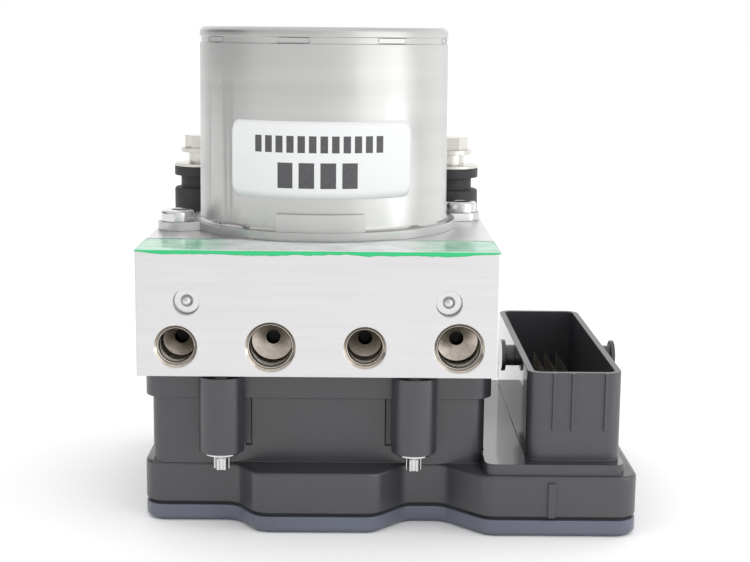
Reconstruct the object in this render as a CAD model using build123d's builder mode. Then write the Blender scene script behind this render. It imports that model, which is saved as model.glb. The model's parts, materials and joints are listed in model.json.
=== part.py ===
"""Anti-lock brake module: a pump motor on a drilled aluminium valve block, with the plastic
control unit that holds the valve coils and the plug socket underneath it.

Millimetres. +Z is up, the pipe ports face -Y. The origin lies under the motor axis, on the
plane of the control unit's lid.
"""
import math
import os

from build123d import *

# Clearances
seat_gap = 0.05
running_gap = 0.05
open_gap = 0.3

# Control unit in height: lid, seal, slab, and the coil box that carries the block
lid_height = 4.7
lid_thickness = 2.0
lid_edge = 1.2
seal_height = 1.0
seal_inset = 0.9
seal_width = 1.1
slab_height = 11.2
box_height = 26.5
unit_wall = 2.0
slab_edge = 1.0
slab_bottom = lid_height + seal_height
slab_top = slab_bottom + slab_height
slab_ceiling = slab_top - unit_wall
box_top = slab_top + box_height

# Solenoid valves, in a grid that sets the width of the coil box and the block
valve_pitch = 22.0
valve_row_pitch = 21.0
valve_columns = 4
valve_rows = 3
valve_bore_radius = 5.0
valve_bore_depth = 8.0
valve_dome_radius = 3.0
valve_dome_wall = 0.6
valve_dome_length = 19.4
valve_core_length = 6.0
valve_orifice_radius = 0.6
push_rod_radius = 0.8
push_rod_length = 2.2
armature_length = 10.0
armature_bottom_gap = 0.1
coil_outer_radius = 7.8
coil_inner_radius = 3.5
yoke_outer_radius = 8.7
yoke_gap = 2.4
yoke_plate = 1.2
yoke_window_width = 9.0
coil_pin_half = 0.4
coil_pin_offset = 3.8
coil_slot_length = 9.2
coil_slot_width = 1.6

# Pressure sensor behind the outer valve column
sensor_radius = 4.8
sensor_length = 12.0
sensor_tip_radius = 3.5
sensor_bore_depth = 7.0
sensor_room = 6.5
sensor_x = valve_pitch * (valve_columns - 1) / 2

# Coil box and its collar, around the coils and the sensor
box_side_room = 1.9
box_front_room = 1.0
box_rear_room = 0.9
collar_height = 8.0
collar_depth = 1.8
box_corner = 4.0
box_half_width = sensor_x + yoke_outer_radius + box_side_room + unit_wall

# Motor rotor and can, from the inside out
core_radius = 27.5
air_gap = 0.9
magnet_thickness = 6.2
magnet_height = 28.0
magnet_bottom = 17.0
magnet_angle = 70.0
magnet_count = 4
can_draft = 0.3
can_height = 57.9
can_wall = 1.6
can_top_edge = 1.7
can_dish_edge = 14.5
can_dish_depth = 0.6
groove_below_top = 3.6
groove_half_width = 0.9
groove_depth = 0.45
stake_length = 9.0
stake_height = 1.4
stake_depth = 0.8
stake_count = 8
stake_first_angle = 258.0
flange_width = 2.5
flange_thickness = 2.5
flange_fillet = 1.2
front_pad_height = 4.9
front_pad_thickness = 1.5
front_pad_angle = 38.0
ear_reach = 5.0
ear_angle = 198.0
ear_radius = 5.6
magnet_outer_radius = core_radius + air_gap + magnet_thickness
draft_at_magnets = (magnet_bottom + magnet_height) * math.tan(math.radians(can_draft))
can_radius = magnet_outer_radius + seat_gap + can_wall + draft_at_magnets
flange_radius = can_radius + flange_width
ear_distance = flange_radius + ear_reach

# Motor screws
motor_screw_head_radius = 4.75
motor_screw_head_height = 3.2
motor_screw_radius = 2.5
motor_screw_depth = 10.0
motor_screw_socket_radius = 2.0
motor_screw_socket_depth = 1.6
motor_screw_edge = 1.0

# Label on the can
label_bottom = 9.0
label_height = 21.2
label_thickness = 0.15
label_half_angle = 43.0
label_corner = 3.0

# Motor inside
core_height = 24.0
core_bottom = 19.0
slot_count = 12
slot_depth = 11.0
slot_mouth = 1.6
tooth_width = 2.7
tooth_tip = 1.4
winding_overhang = 5.0
winding_edge = 2.0
commutator_radius = 11.0
commutator_bottom = 4.4
commutator_height = 9.0
commutator_slit = 0.5
commutator_slit_depth = 1.0
shaft_radius = 4.0
journal_radius = 6.0
shoulder_length = 1.0
bearing_outer_radius = 14.0
bearing_width = 8.0
upper_bearing_outer_radius = 9.5
upper_bearing_width = 6.0
bearing_shield_depth = 0.5
bearing_race_share = 0.25
brush_plate_thickness = 2.2
brush_plate_gap = 1.3
brush_plate_lip = 1.0
brush_width = 6.0
brush_height = 5.0
brush_length = 9.0
brush_box_length = 18.0
brush_box_wall = 1.2
brush_spring_wire = 0.35
brush_spring_turns = 5
contact_rod_radius = 3.6
contact_pin_half = 0.5
contact_pin_spacing = 3.0
brush_plate_hole = bearing_outer_radius - brush_plate_lip
seal_ring_inset = 2.0
seal_ring_half_width = 0.8
seal_ring_depth = 1.2

# Rubber mounts on the top rear corners
mount_radius = 9.0
mount_flange_gap = 1.2
mount_body_height = 7.8
mount_neck_radius = 7.0
mount_neck_height = 3.8
mount_collar_height = 2.9
mount_edge = 0.8
sleeve_outer_radius = 4.5
sleeve_inner_radius = 3.15
sleeve_washer_height = 0.9
sleeve_top_height = 3.4
mount_bolt_radius = 3.0
mount_bolt_depth = 12.0
mount_bolt_flange_radius = 7.0
mount_bolt_flange_height = 1.4
mount_bolt_head_flats = 10.0
mount_bolt_head_height = 3.8

# Low pressure accumulators in the rear face
accumulator_side_land = 26.0
accumulator_height = 20.0
accumulator_radius = 10.0
accumulator_depth = 28.0
accumulator_piston_length = 8.0
accumulator_piston_recess = 4.0
accumulator_piston_wall = 2.0
accumulator_spring_wire = 0.8
accumulator_spring_turns = 5
accumulator_cap_thickness = 4.0
accumulator_cap_dish = 1.5

# Valve block
block_roof = 3.6
block_side_overhang = 0.6
block_front_land = 17.0
block_rear_land = 3.0
block_edge = 0.5
block_half_width = box_half_width + collar_depth + block_side_overhang
block_height = accumulator_height + accumulator_radius + block_roof
block_bottom = box_top
block_top = block_bottom + block_height
mount_x = block_half_width - mount_radius
mount_y = math.sqrt((flange_radius + mount_flange_gap + mount_radius) ** 2 - mount_x**2)
block_front = flange_radius + block_front_land
block_rear = mount_y + mount_radius + block_rear_land
block_depth = block_front + block_rear
block_middle_y = (block_rear - block_front) / 2
accumulator_x = block_half_width - accumulator_side_land
accumulator_z = block_bottom + accumulator_height

# Pipe ports on the front face, wheel ports M10 and M12 in turn, and two M12 ports on the top
port_side_land = 10.5
port_height = 8.0
port_depth = 12.0
port_mouth = 0.8
small_port_radius = 5.0
large_port_radius = 6.0
port_seat_length = 1.6
port_drilling_radius = 1.8
port_drilling_depth = 5.0
top_port_side_land = 12.0
top_port_inset = 11.0
port_z = block_bottom + port_height
port_pitch = (block_half_width - port_side_land) / 1.5

# Ball plugs that close two cross drillings
ball_plug_side_land = 13.4
ball_plug_height = 20.0
ball_plug_recess = 3.0
ball_plug_recess_radius = 3.5
ball_plug_collar = 0.6
ball_plug_radius = 1.6

# Pump: eccentric on the motor shaft, one piston on each side
pump_room = 3.6
eccentric_throw = 0.8
eccentric_radius = 5.0
ring_outer_radius = 9.0
ring_height = 8.0
chamber_radius = 11.5
chamber_room = 1.9
pump_bore_radius = 6.0
piston_guide_length = 8.5
piston_radius = 3.25
pump_spring_length = 9.5
pump_spring_wire = 0.4
pump_spring_turns = 5
pump_liner_length = 14.0
pump_liner_wall = 1.4
pump_plug_length = 9.0
pump_plug_socket_radius = 3.0
pump_plug_socket_depth = 4.0
pump_depth = bearing_width + pump_room + ring_height / 2
pump_z = block_top - pump_depth
chamber_depth = pump_depth + ring_height / 2 + chamber_room

# Protective film over the top ports
film_thickness = 0.2
film_depth = 22.5
film_lip = 1.4
film_flange_gap = 0.6

# Screw towers and the long screws from below
tower_x = 26.0
tower_offset = 4.9
tower_radius = 6.1
tower_height = 20.9
tower_gap = 0.7
tower_groove_width = 1.6
tower_groove_depth = 1.0
long_screw_radius = 2.0
long_screw_thread = 8.0
long_screw_flange_radius = 4.7
long_screw_flange_height = 0.9
long_screw_cone_radius = 3.2
long_screw_cone_height = 1.1
long_screw_head_radius = 2.25
long_screw_head_height = 3.2
long_screw_lobe_radius = 0.5
long_screw_lobes = 6
tower_top = block_bottom - tower_gap
tower_bottom = tower_top - tower_height

# Wavy outline of the control unit, which leaves room below each long screw
outline_radius = 6.0
recess_depth = 10.0
left_recess_run = 3.5
left_bulge_run = 9.8
middle_bulge_run = 10.5
right_recess_near = 2.0
right_recess_far = 8.2
right_bulge_run = 19.5
rear_notch_half_width = 5.0
rear_notch_flare = 3.0
socket_side_width = 38.4
socket_side_reach = 1.5
unit_left = block_half_width
unit_right = block_half_width + socket_side_width
unit_front = block_front
unit_rear = block_rear
socket_side_front = unit_front + socket_side_reach

# Plinth beside the coil box, and a rib on the slab's front
plinth_height = 2.9
plinth_margin = 1.5
plinth_side_margin = 3.6
plinth_overlap = 3.0
front_rib_inset = 23.5
front_rib_width = 2.0
front_rib_depth = 1.0
front_rib_height = 9.5
plinth_top = slab_top + plinth_height
plinth_left_x = block_half_width - plinth_overlap

# Plug pins
signal_pin_half = 0.32
signal_pin_rows = 4
signal_pin_row_pitch = 3.6
signal_pin_columns = 14
signal_pin_column_pitch = 4.2
signal_pin_start = 8.0
signal_pin_end = 8.0
power_blade_width = 6.0
power_blade_thickness = 0.8
power_blade_pitch = 6.0
power_blade_count = 2
pin_height = 9.0

# Plug socket
socket_side_margin = 4.4
socket_width = 25.5
socket_front_margin = 5.6
socket_height = 24.3
socket_wall = 1.8
socket_corner = 4.0
socket_floor = 3.0
socket_rib_width = 0.7
socket_rib_depth = 0.8
socket_rib_length = 15.8
socket_rib_insets = (18.6, 13.5, 4.6)
partition_inset = 18.0
partition_height = 14.0
pivot_height = 20.3
pivot_inset = 39.4
pivot_radius = 3.05
pivot_head_radius = 4.6
pivot_head_height = 1.2
pivot_length = 3.8
signal_pin_run = signal_pin_column_pitch * (signal_pin_columns - 1)
socket_depth = partition_inset + signal_pin_start + signal_pin_run + signal_pin_end
socket_right = unit_right - socket_side_margin
socket_left = socket_right - socket_width
socket_front = socket_side_front - socket_front_margin
socket_rear = socket_depth - socket_front
socket_top = plinth_top + socket_height
partition_y = partition_inset - socket_front
pivot_y = pivot_inset - socket_front
pivot_z = plinth_top + pivot_height

# Circuit board, the posts that carry it, and its larger components
board_thickness = 1.6
board_recess = 2.0
board_edge_gap = 1.5
post_radius = 2.5
post_inset = 6.0
chip_height = 1.5
chip_sizes = ((24.0, 24.0), (16.0, 16.0), (12.0, 18.0), (10.0, 14.0))
chip_pitch = 30.0
capacitor_radius = 3.0
capacitor_height = 4.4
capacitor_pitch = 12.0
board_bottom = slab_bottom + board_recess
board_top = board_bottom + board_thickness

# Places worked out from the sizes above
port_xs = [port_pitch * (index - 1.5) for index in range(4)]
port_radii = [small_port_radius, large_port_radius, small_port_radius, large_port_radius]
top_port_x = block_half_width - top_port_side_land
top_port_y = top_port_inset - block_front
ball_plug_x = block_half_width - ball_plug_side_land
first_valve_row_y = port_depth + port_drilling_depth + valve_bore_radius - block_front
valve_places = [
    (valve_pitch * (column - (valve_columns - 1) / 2), first_valve_row_y + valve_row_pitch * row)
    for row in range(valve_rows)
    for column in range(valve_columns)
]
last_valve_row_y = valve_places[-1][1]
sensor_y = last_valve_row_y + yoke_outer_radius + sensor_room
contact_rod_y = sensor_y
box_front = yoke_outer_radius + box_front_room + unit_wall - first_valve_row_y
box_rear = sensor_y + sensor_radius + box_rear_room + unit_wall
box_depth = box_front + box_rear
box_middle_y = (box_rear - box_front) / 2
tower_front_y = -(box_front + tower_offset)
tower_rear_y = box_rear + tower_offset
tower_places = [(x, y) for x in (-tower_x, tower_x) for y in (tower_front_y, tower_rear_y)]
ear_places = [
    (ear_distance * math.cos(math.radians(angle)), ear_distance * math.sin(math.radians(angle)))
    for angle in (ear_angle, ear_angle - 180)
]
mount_places = [(-mount_x, mount_y), (mount_x, mount_y)]
mount_rubber_top = block_top + mount_body_height + mount_neck_height + mount_collar_height
front_plane = Plane.XZ.offset(block_front)
rear_plane = Plane.XZ.offset(-block_rear)
ring_swept_radius = ring_outer_radius + eccentric_throw
piston_tip_x = ring_swept_radius + open_gap
pump_bore_bottom_x = chamber_radius + piston_guide_length
pump_plug_inner_x = block_half_width - pump_plug_length
piston_end_x = pump_plug_inner_x - pump_liner_wall - pump_spring_length
lower_bearing_bottom = block_top - bearing_width
can_top = block_top + can_height
seal_ring_radius = flange_radius - seal_ring_inset
socket_middle_y = (socket_rear - socket_front) / 2
socket_middle_x = (socket_left + socket_right) / 2
socket_floor_z = plinth_top + socket_floor
pin_top = socket_floor_z + pin_height
yoke_bottom = slab_top
yoke_top = block_bottom - yoke_gap
coil_bottom = yoke_bottom + yoke_plate
coil_top = yoke_top - yoke_plate
valve_dome_bottom = block_bottom - valve_dome_length
valve_cavity_top = block_bottom - valve_core_length
sensor_bottom = block_bottom - sensor_length

os.makedirs("parts", exist_ok=True)


def write(builder, name):
    """Label a finished piece and write it to its own file."""
    builder.part.label = name
    export_step(builder.part, f"parts/{name}.step")


def can_radius_at(z):
    """Outer radius of the slightly tapered can at a height."""
    return can_radius - (z - block_top) * math.tan(math.radians(can_draft))


def unit_outline(inset=0.0):
    """Add the control unit's wavy outline, as seen from above, to the sketch that is open."""
    left = inset - unit_left
    right = unit_right - inset
    rear = unit_rear - inset
    proud = inset - unit_front
    proud_right = inset - socket_side_front
    recess = proud + recess_depth
    notch = rear - recess_depth
    notch_half = rear_notch_half_width + inset
    notch_mouth = notch_half + rear_notch_flare
    with BuildLine() as outline:
        Polyline(
            (left, recess),
            (left_recess_run - tower_x - inset, recess),
            (left_bulge_run - tower_x + inset, proud),
            (tower_x - middle_bulge_run - inset, proud),
            (tower_x - right_recess_near + inset, recess),
            (tower_x + right_recess_far - inset, recess),
            (tower_x + right_bulge_run + inset, proud_right),
            (right, proud_right),
            (right, rear),
            (tower_x + notch_mouth, rear),
            (tower_x + notch_half, notch),
            (tower_x - notch_half, notch),
            (tower_x - notch_mouth, rear),
            (notch_mouth - tower_x, rear),
            (notch_half - tower_x, notch),
            (-notch_half - tower_x, notch),
            (-notch_mouth - tower_x, rear),
            (left, rear),
            close=True,
        )
    face = make_face(outline.edges(), mode=Mode.PRIVATE).face()
    add(face.fillet_2d(outline_radius - inset, face.vertices()))


def pipe_port(mouth, radius):
    """Cut a threaded pipe port with its mouth chamfer, cone seat and cross drilling."""
    with BuildSketch(Plane(origin=mouth.origin, x_dir=mouth.x_dir, z_dir=-mouth.y_dir)) as profile:
        with BuildLine():
            Polyline(
                (0, 0),
                (radius + port_mouth, 0),
                (radius, port_mouth),
                (radius, port_depth),
                (port_drilling_radius, port_depth + port_seat_length),
                (port_drilling_radius, port_depth + port_drilling_depth),
                (0, port_depth + port_drilling_depth),
                close=True,
            )
        make_face()
    revolve(profile.sketch, axis=Axis(mouth.origin, mouth.z_dir), mode=Mode.SUBTRACT)


def spring(base, mean_radius, wire_radius, length, turns):
    """Wind a compression spring along the base plane's normal, between two flat seats."""
    wound = length - 2 * (wire_radius + seat_gap)
    start = base.offset(wire_radius + seat_gap)
    with BuildPart() as coil:
        with BuildLine() as path:
            Helix(wound / turns, wound, mean_radius, center=start.origin, direction=start.z_dir)
        with BuildSketch(path.line ^ 0):
            Circle(wire_radius)
        sweep(is_frenet=True)
    return coil.part


# Valve block, one machined piece
with BuildPart() as hydraulic_block:
    with BuildSketch(Plane.XY.offset(block_bottom)):
        with Locations((0, block_middle_y)):
            Rectangle(2 * block_half_width, block_depth)
    extrude(amount=block_height)
    chamfer(edges().filter_by(Axis.Z), length=block_edge)
    # Pipe ports: the mouth plane's normal points into the metal
    for x, radius in zip(port_xs, port_radii):
        pipe_port(Plane(origin=(x, -block_front, port_z), x_dir=(1, 0, 0), z_dir=(0, 1, 0)), radius)
    for x in (-top_port_x, top_port_x):
        pipe_port(
            Plane(origin=(x, top_port_y, block_top), x_dir=(1, 0, 0), z_dir=(0, 0, -1)),
            large_port_radius,
        )
    # Ball plug recesses
    with BuildSketch(front_plane):
        with Locations((0, block_bottom + ball_plug_height)):
            with GridLocations(2 * ball_plug_x, 0, 2, 1):
                Circle(ball_plug_recess_radius)
    extrude(amount=-ball_plug_recess, mode=Mode.SUBTRACT)
    # Valve and sensor bores in the underside
    with BuildSketch(Plane.XY.offset(block_bottom)):
        with Locations(valve_places):
            Circle(valve_bore_radius)
    extrude(amount=valve_bore_depth, mode=Mode.SUBTRACT)
    with BuildSketch(Plane.XY.offset(block_bottom)):
        with Locations((sensor_x, sensor_y)):
            Circle(sensor_tip_radius)
    extrude(amount=sensor_bore_depth, mode=Mode.SUBTRACT)
    with BuildSketch(Plane.XY.offset(block_bottom)):
        with Locations(tower_places):
            Circle(long_screw_radius + seat_gap)
    extrude(amount=long_screw_thread + open_gap, mode=Mode.SUBTRACT)
    # Stepped motor bore: bearing seat, then the eccentric's chamber
    with BuildSketch(Plane.XY.offset(block_top)):
        Circle(bearing_outer_radius + seat_gap)
    extrude(amount=-bearing_width, mode=Mode.SUBTRACT)
    with BuildSketch(Plane.XY.offset(block_top)):
        Circle(chamber_radius)
    extrude(amount=-chamber_depth, mode=Mode.SUBTRACT)
    # Passage for the motor's contact rod
    with BuildSketch(Plane.XY.offset(block_bottom)):
        with Locations((0, contact_rod_y)):
            Circle(contact_rod_radius + seat_gap)
    extrude(amount=block_height, mode=Mode.SUBTRACT)
    # Pump bores from both sides, and the pistons' guide bore
    for side in (-1, 1):
        with BuildSketch(Plane.YZ.offset(side * block_half_width)):
            with Locations((0, pump_z)):
                Circle(pump_bore_radius)
        extrude(amount=side * (pump_bore_bottom_x - block_half_width), mode=Mode.SUBTRACT)
    with BuildSketch(Plane.YZ):
        with Locations((0, pump_z)):
            Circle(piston_radius + running_gap)
    extrude(amount=pump_plug_inner_x, both=True, mode=Mode.SUBTRACT)
    # Accumulator bores in the rear face
    with BuildSketch(rear_plane):
        with Locations((0, accumulator_z)):
            with GridLocations(2 * accumulator_x, 0, 2, 1):
                Circle(accumulator_radius)
    extrude(amount=accumulator_depth, mode=Mode.SUBTRACT)
    # Groove for the motor's seal ring
    with BuildSketch(Plane.XY.offset(block_top)):
        Circle(seal_ring_radius + seal_ring_half_width + seat_gap)
        Circle(seal_ring_radius - seal_ring_half_width - seat_gap, mode=Mode.SUBTRACT)
    extrude(amount=-seal_ring_depth, mode=Mode.SUBTRACT)
    # Threads for the motor screws and the mount bolts
    with BuildSketch(Plane.XY.offset(block_top)):
        with Locations(ear_places):
            Circle(motor_screw_radius + seat_gap)
    extrude(amount=-(motor_screw_depth + open_gap), mode=Mode.SUBTRACT)
    with BuildSketch(Plane.XY.offset(block_top)):
        with Locations(mount_places):
            Circle(mount_bolt_radius + seat_gap)
    extrude(amount=-(mount_bolt_depth + open_gap), mode=Mode.SUBTRACT)
write(hydraulic_block, "hydraulic_block")

with BuildPart() as ball_plugs:
    for x in (-ball_plug_x, ball_plug_x):
        recess_floor = (x, ball_plug_recess - block_front, block_bottom + ball_plug_height)
        with BuildSketch(Plane(origin=recess_floor, x_dir=(1, 0, 0), z_dir=(0, 0, 1))):
            with BuildLine():
                Polyline(
                    (0, -ball_plug_collar - ball_plug_radius),
                    (0, 0),
                    (ball_plug_recess_radius - seat_gap, 0),
                    (ball_plug_recess_radius - seat_gap, -ball_plug_collar),
                    (ball_plug_radius, -ball_plug_collar),
                )
                RadiusArc(
                    (ball_plug_radius, -ball_plug_collar),
                    (0, -ball_plug_collar - ball_plug_radius),
                    ball_plug_radius,
                )
            make_face()
        revolve(axis=Axis(recess_floor, (0, 1, 0)))
write(ball_plugs, "ball_plugs")

# Protective film: a thin sheet over the top ports, folded down over the front edge
with BuildPart() as cover_film:
    with BuildSketch(Plane.YZ.offset(-block_half_width)):
        with BuildLine():
            Polyline(
                (-block_front - film_thickness, block_top - film_lip),
                (-block_front, block_top - film_lip),
                (-block_front, block_top),
                (film_depth - block_front, block_top),
                (film_depth - block_front, block_top + film_thickness),
                (-block_front - film_thickness, block_top + film_thickness),
                close=True,
            )
        make_face()
    extrude(amount=2 * block_half_width)
    with BuildSketch(Plane.XY.offset(block_top)):
        Circle(flange_radius + film_flange_gap)
    extrude(amount=film_thickness, mode=Mode.SUBTRACT)
write(cover_film, "cover_film")

# Motor can: deep drawn, with a foot flange, two screw ears, a front pad and the magnet stakes
ear_top = block_top + flange_thickness
can_inner_top = can_top - can_dish_depth - can_wall
cup_inner_radius = upper_bearing_outer_radius + seat_gap
dish_radius = can_radius - can_dish_edge
groove_z = can_top - groove_below_top
with BuildPart() as motor_housing:
    with BuildSketch(Plane.XZ) as can_section:
        with BuildLine():
            Polyline(
                (0, can_top - can_dish_depth),
                (dish_radius, can_top - can_dish_depth),
                (dish_radius + can_dish_depth, can_top),
                (can_radius_at(can_top), can_top),
                (can_radius_at(ear_top), ear_top),
                (flange_radius, ear_top),
                (flange_radius, block_top),
                (can_radius - can_wall, block_top),
                (can_radius_at(can_inner_top) - can_wall, can_inner_top),
                (cup_inner_radius + can_wall, can_inner_top),
                (cup_inner_radius + can_wall, can_inner_top - upper_bearing_width),
                (cup_inner_radius, can_inner_top - upper_bearing_width),
                (cup_inner_radius, can_inner_top),
                (0, can_inner_top),
                close=True,
            )
        make_face()
        fillet(vertices().sort_by_distance((can_radius_at(can_top), can_top))[0], can_top_edge)
        fillet(vertices().sort_by_distance((can_radius_at(ear_top), ear_top))[0], flange_fillet)
    revolve(axis=Axis.Z)
    with BuildSketch(Plane.XY.offset(block_top)):
        with PolarLocations((ear_distance + can_radius) / 2, 2, start_angle=ear_angle):
            Rectangle(ear_distance - can_radius, 2 * ear_radius)
        with Locations(ear_places):
            Circle(ear_radius)
        with Locations(ear_places):
            Circle(motor_screw_radius + open_gap, mode=Mode.SUBTRACT)
    extrude(amount=flange_thickness)
    pad_start = math.radians(-90 - front_pad_angle / 2)
    pad_direction = (math.cos(pad_start), math.sin(pad_start), 0)
    pad_normal = (pad_direction[1], -pad_direction[0], 0)
    with BuildSketch(Plane(origin=(0, 0, ear_top), x_dir=pad_direction, z_dir=pad_normal)):
        with Locations((can_radius, 0)):
            Rectangle(can_wall / 2, front_pad_height, align=(Align.MAX, Align.MIN))
            Rectangle(front_pad_thickness, front_pad_height, align=(Align.MIN, Align.MIN))
    revolve(axis=Axis.Z, revolution_arc=front_pad_angle)
    with BuildSketch(Plane.XZ):
        with Locations((can_radius_at(groove_z), groove_z)):
            Rectangle(2 * groove_depth, 2 * groove_half_width)
    revolve(axis=Axis.Z, mode=Mode.SUBTRACT)
    for index in range(stake_count):
        turn = math.radians(stake_first_angle + index * 360 / stake_count)
        outward = (math.cos(turn), math.sin(turn), 0)
        foot = (can_radius_at(groove_z) * outward[0], can_radius_at(groove_z) * outward[1], groove_z)
        with BuildSketch(Plane(origin=foot, x_dir=(-outward[1], outward[0], 0), z_dir=outward)):
            SlotOverall(stake_length, stake_height)
        extrude(amount=-stake_depth, mode=Mode.SUBTRACT)
write(motor_housing, "motor_housing")

with BuildPart() as motor_screws:
    with BuildSketch(Plane.XY.offset(ear_top)):
        with Locations(ear_places):
            Circle(motor_screw_head_radius)
    extrude(amount=motor_screw_head_height)
    fillet(faces().group_by(Axis.Z)[-1].edges(), radius=motor_screw_edge)
    with BuildSketch(Plane.XY.offset(ear_top)):
        with Locations(ear_places):
            Circle(motor_screw_radius)
    extrude(amount=-(flange_thickness + motor_screw_depth))
    with BuildSketch(Plane.XY.offset(ear_top + motor_screw_head_height)):
        with Locations(ear_places):
            RegularPolygon(motor_screw_socket_radius, 6)
    extrude(amount=-motor_screw_socket_depth, mode=Mode.SUBTRACT)
write(motor_screws, "motor_screws")

# Bare label: a band of the can's own taper, trimmed to a rounded rectangle seen from the front
label_z = block_top + flange_thickness + label_bottom
label_bottom_radius = can_radius_at(label_z) + seat_gap
label_top_radius = can_radius_at(label_z + label_height) + seat_gap
with BuildPart() as motor_label:
    with BuildSketch(Plane.XZ):
        with BuildLine():
            Polyline(
                (label_bottom_radius, label_z),
                (label_bottom_radius + label_thickness, label_z),
                (label_top_radius + label_thickness, label_z + label_height),
                (label_top_radius, label_z + label_height),
                close=True,
            )
        make_face()
    revolve(axis=Axis.Z)
    with BuildSketch(Plane.XZ):
        with Locations((0, label_z + label_height / 2)):
            RectangleRounded(
                2 * can_radius * math.sin(math.radians(label_half_angle)), label_height, label_corner
            )
    extrude(amount=flange_radius, mode=Mode.INTERSECT)
write(motor_label, "motor_label")

# Field magnets
magnet_z = block_top + magnet_bottom
with BuildPart() as magnets:
    for index in range(magnet_count):
        start = math.radians(index * 360 / magnet_count - magnet_angle / 2)
        across = (math.cos(start), math.sin(start), 0)
        with BuildSketch(Plane(origin=(0, 0, magnet_z), x_dir=across, z_dir=(across[1], -across[0], 0))):
            with Locations((magnet_outer_radius, 0)):
                Rectangle(magnet_thickness, magnet_height, align=(Align.MAX, Align.MIN))
        revolve(axis=Axis.Z, revolution_arc=magnet_angle)
write(magnets, "magnets")

# Rotor: slotted core, copper windings, commutator and shaft
core_z = block_top + core_bottom
slot_middle = core_radius - tooth_tip - slot_depth / 2
slot_width = 2 * (slot_middle - slot_depth / 2) * math.tan(math.pi / slot_count) - tooth_width
with BuildPart() as armature_core:
    with BuildSketch(Plane.XY.offset(core_z)):
        Circle(core_radius)
        Circle(shaft_radius, mode=Mode.SUBTRACT)
        with PolarLocations(slot_middle, slot_count):
            Rectangle(slot_depth, slot_width, mode=Mode.SUBTRACT)
        with PolarLocations(core_radius, slot_count):
            Rectangle(2 * tooth_tip + slot_mouth, slot_mouth, mode=Mode.SUBTRACT)
    extrude(amount=core_height)
write(armature_core, "armature_core")

winding_outer_radius = slot_middle + slot_depth / 2 - seat_gap
winding_inner_radius = slot_middle - slot_depth / 2 + seat_gap
with BuildPart() as windings:
    with BuildSketch(Plane.XY.offset(core_z)):
        with PolarLocations(slot_middle, slot_count):
            Rectangle(slot_depth - 2 * seat_gap, slot_width - 2 * seat_gap)
    extrude(amount=core_height)
    for end in (core_z - winding_overhang, core_z + core_height):
        with BuildSketch(Plane.XZ):
            with Locations((winding_inner_radius, end)):
                Rectangle(
                    winding_outer_radius - winding_inner_radius,
                    winding_overhang,
                    align=(Align.MIN, Align.MIN),
                )
            fillet(vertices(), radius=winding_edge)
        revolve(axis=Axis.Z)
write(windings, "windings")

commutator_z = block_top + commutator_bottom
with BuildPart() as commutator:
    with BuildSketch(Plane.XY.offset(commutator_z)):
        Circle(commutator_radius)
        Circle(shaft_radius, mode=Mode.SUBTRACT)
        with PolarLocations(commutator_radius, slot_count):
            Rectangle(2 * commutator_slit_depth, commutator_slit, mode=Mode.SUBTRACT)
    extrude(amount=commutator_height)
write(commutator, "commutator")

with BuildPart() as motor_shaft:
    with BuildSketch(Plane.XY.offset(lower_bearing_bottom - shoulder_length)):
        Circle(journal_radius)
    extrude(amount=bearing_width + 2 * shoulder_length)
    with BuildSketch(Plane.XY.offset(block_top)):
        Circle(shaft_radius)
    extrude(amount=can_inner_top - open_gap - block_top)
    with BuildSketch(Plane.XY.offset(pump_z - ring_height / 2 - shoulder_length / 2)):
        with Locations((0, eccentric_throw)):
            Circle(eccentric_radius)
    extrude(amount=lower_bearing_bottom - pump_z + ring_height / 2 - shoulder_length / 2)
write(motor_shaft, "motor_shaft")

with BuildPart() as eccentric_ring:
    with BuildSketch(Plane.XY.offset(pump_z - ring_height / 2)):
        with Locations((0, eccentric_throw)):
            Circle(ring_outer_radius)
            Circle(eccentric_radius + running_gap, mode=Mode.SUBTRACT)
    extrude(amount=ring_height)
write(eccentric_ring, "eccentric_ring")


def shielded_bearing(bottom, inner_radius, outer_radius, width):
    """Turn a shielded ball bearing as one ring, with its two shields set in."""
    shield = (outer_radius - inner_radius) * bearing_race_share
    with BuildPart() as bearing:
        with BuildSketch(Plane.XY.offset(bottom)):
            Circle(outer_radius)
            Circle(inner_radius, mode=Mode.SUBTRACT)
        extrude(amount=width)
        for level in (bottom, bottom + width - bearing_shield_depth):
            with BuildSketch(Plane.XY.offset(level)):
                Circle(outer_radius - shield)
                Circle(inner_radius + shield, mode=Mode.SUBTRACT)
            extrude(amount=bearing_shield_depth, mode=Mode.SUBTRACT)
    return bearing


lower_bearing = shielded_bearing(
    lower_bearing_bottom, journal_radius + running_gap, bearing_outer_radius, bearing_width
)
write(lower_bearing, "lower_bearing")
upper_bearing = shielded_bearing(
    can_inner_top - upper_bearing_width,
    shaft_radius + running_gap,
    upper_bearing_outer_radius,
    upper_bearing_width,
)
write(upper_bearing, "upper_bearing")

# Brush gear: plate with two boxes, carbon brushes on the commutator, springs behind them
plate_top = block_top + brush_plate_thickness
brush_z = commutator_z + commutator_height / 2
brush_start = commutator_radius + open_gap
brush_back = brush_start + brush_length
brush_box_end = brush_start + brush_box_length
brush_box_half_width = brush_width / 2 + brush_box_wall
with BuildPart() as brush_holder:
    with BuildSketch(Plane.XY.offset(block_top)):
        Circle(can_radius - can_wall - brush_plate_gap)
        Circle(brush_plate_hole, mode=Mode.SUBTRACT)
    extrude(amount=brush_plate_thickness)
    with BuildSketch(Plane.XY.offset(plate_top)):
        for side in (-1, 1):
            with Locations((side * (brush_plate_hole + brush_box_end) / 2, 0)):
                Rectangle(brush_box_end - brush_plate_hole, 2 * brush_box_half_width)
    extrude(amount=brush_z + brush_height / 2 + brush_box_wall - plate_top)
    with BuildSketch(Plane.XY.offset(brush_z - brush_height / 2 - running_gap)):
        Rectangle(2 * (brush_box_end - brush_box_wall), brush_width + 2 * running_gap)
    extrude(amount=brush_height + 2 * running_gap, mode=Mode.SUBTRACT)
write(brush_holder, "brush_holder")

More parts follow.
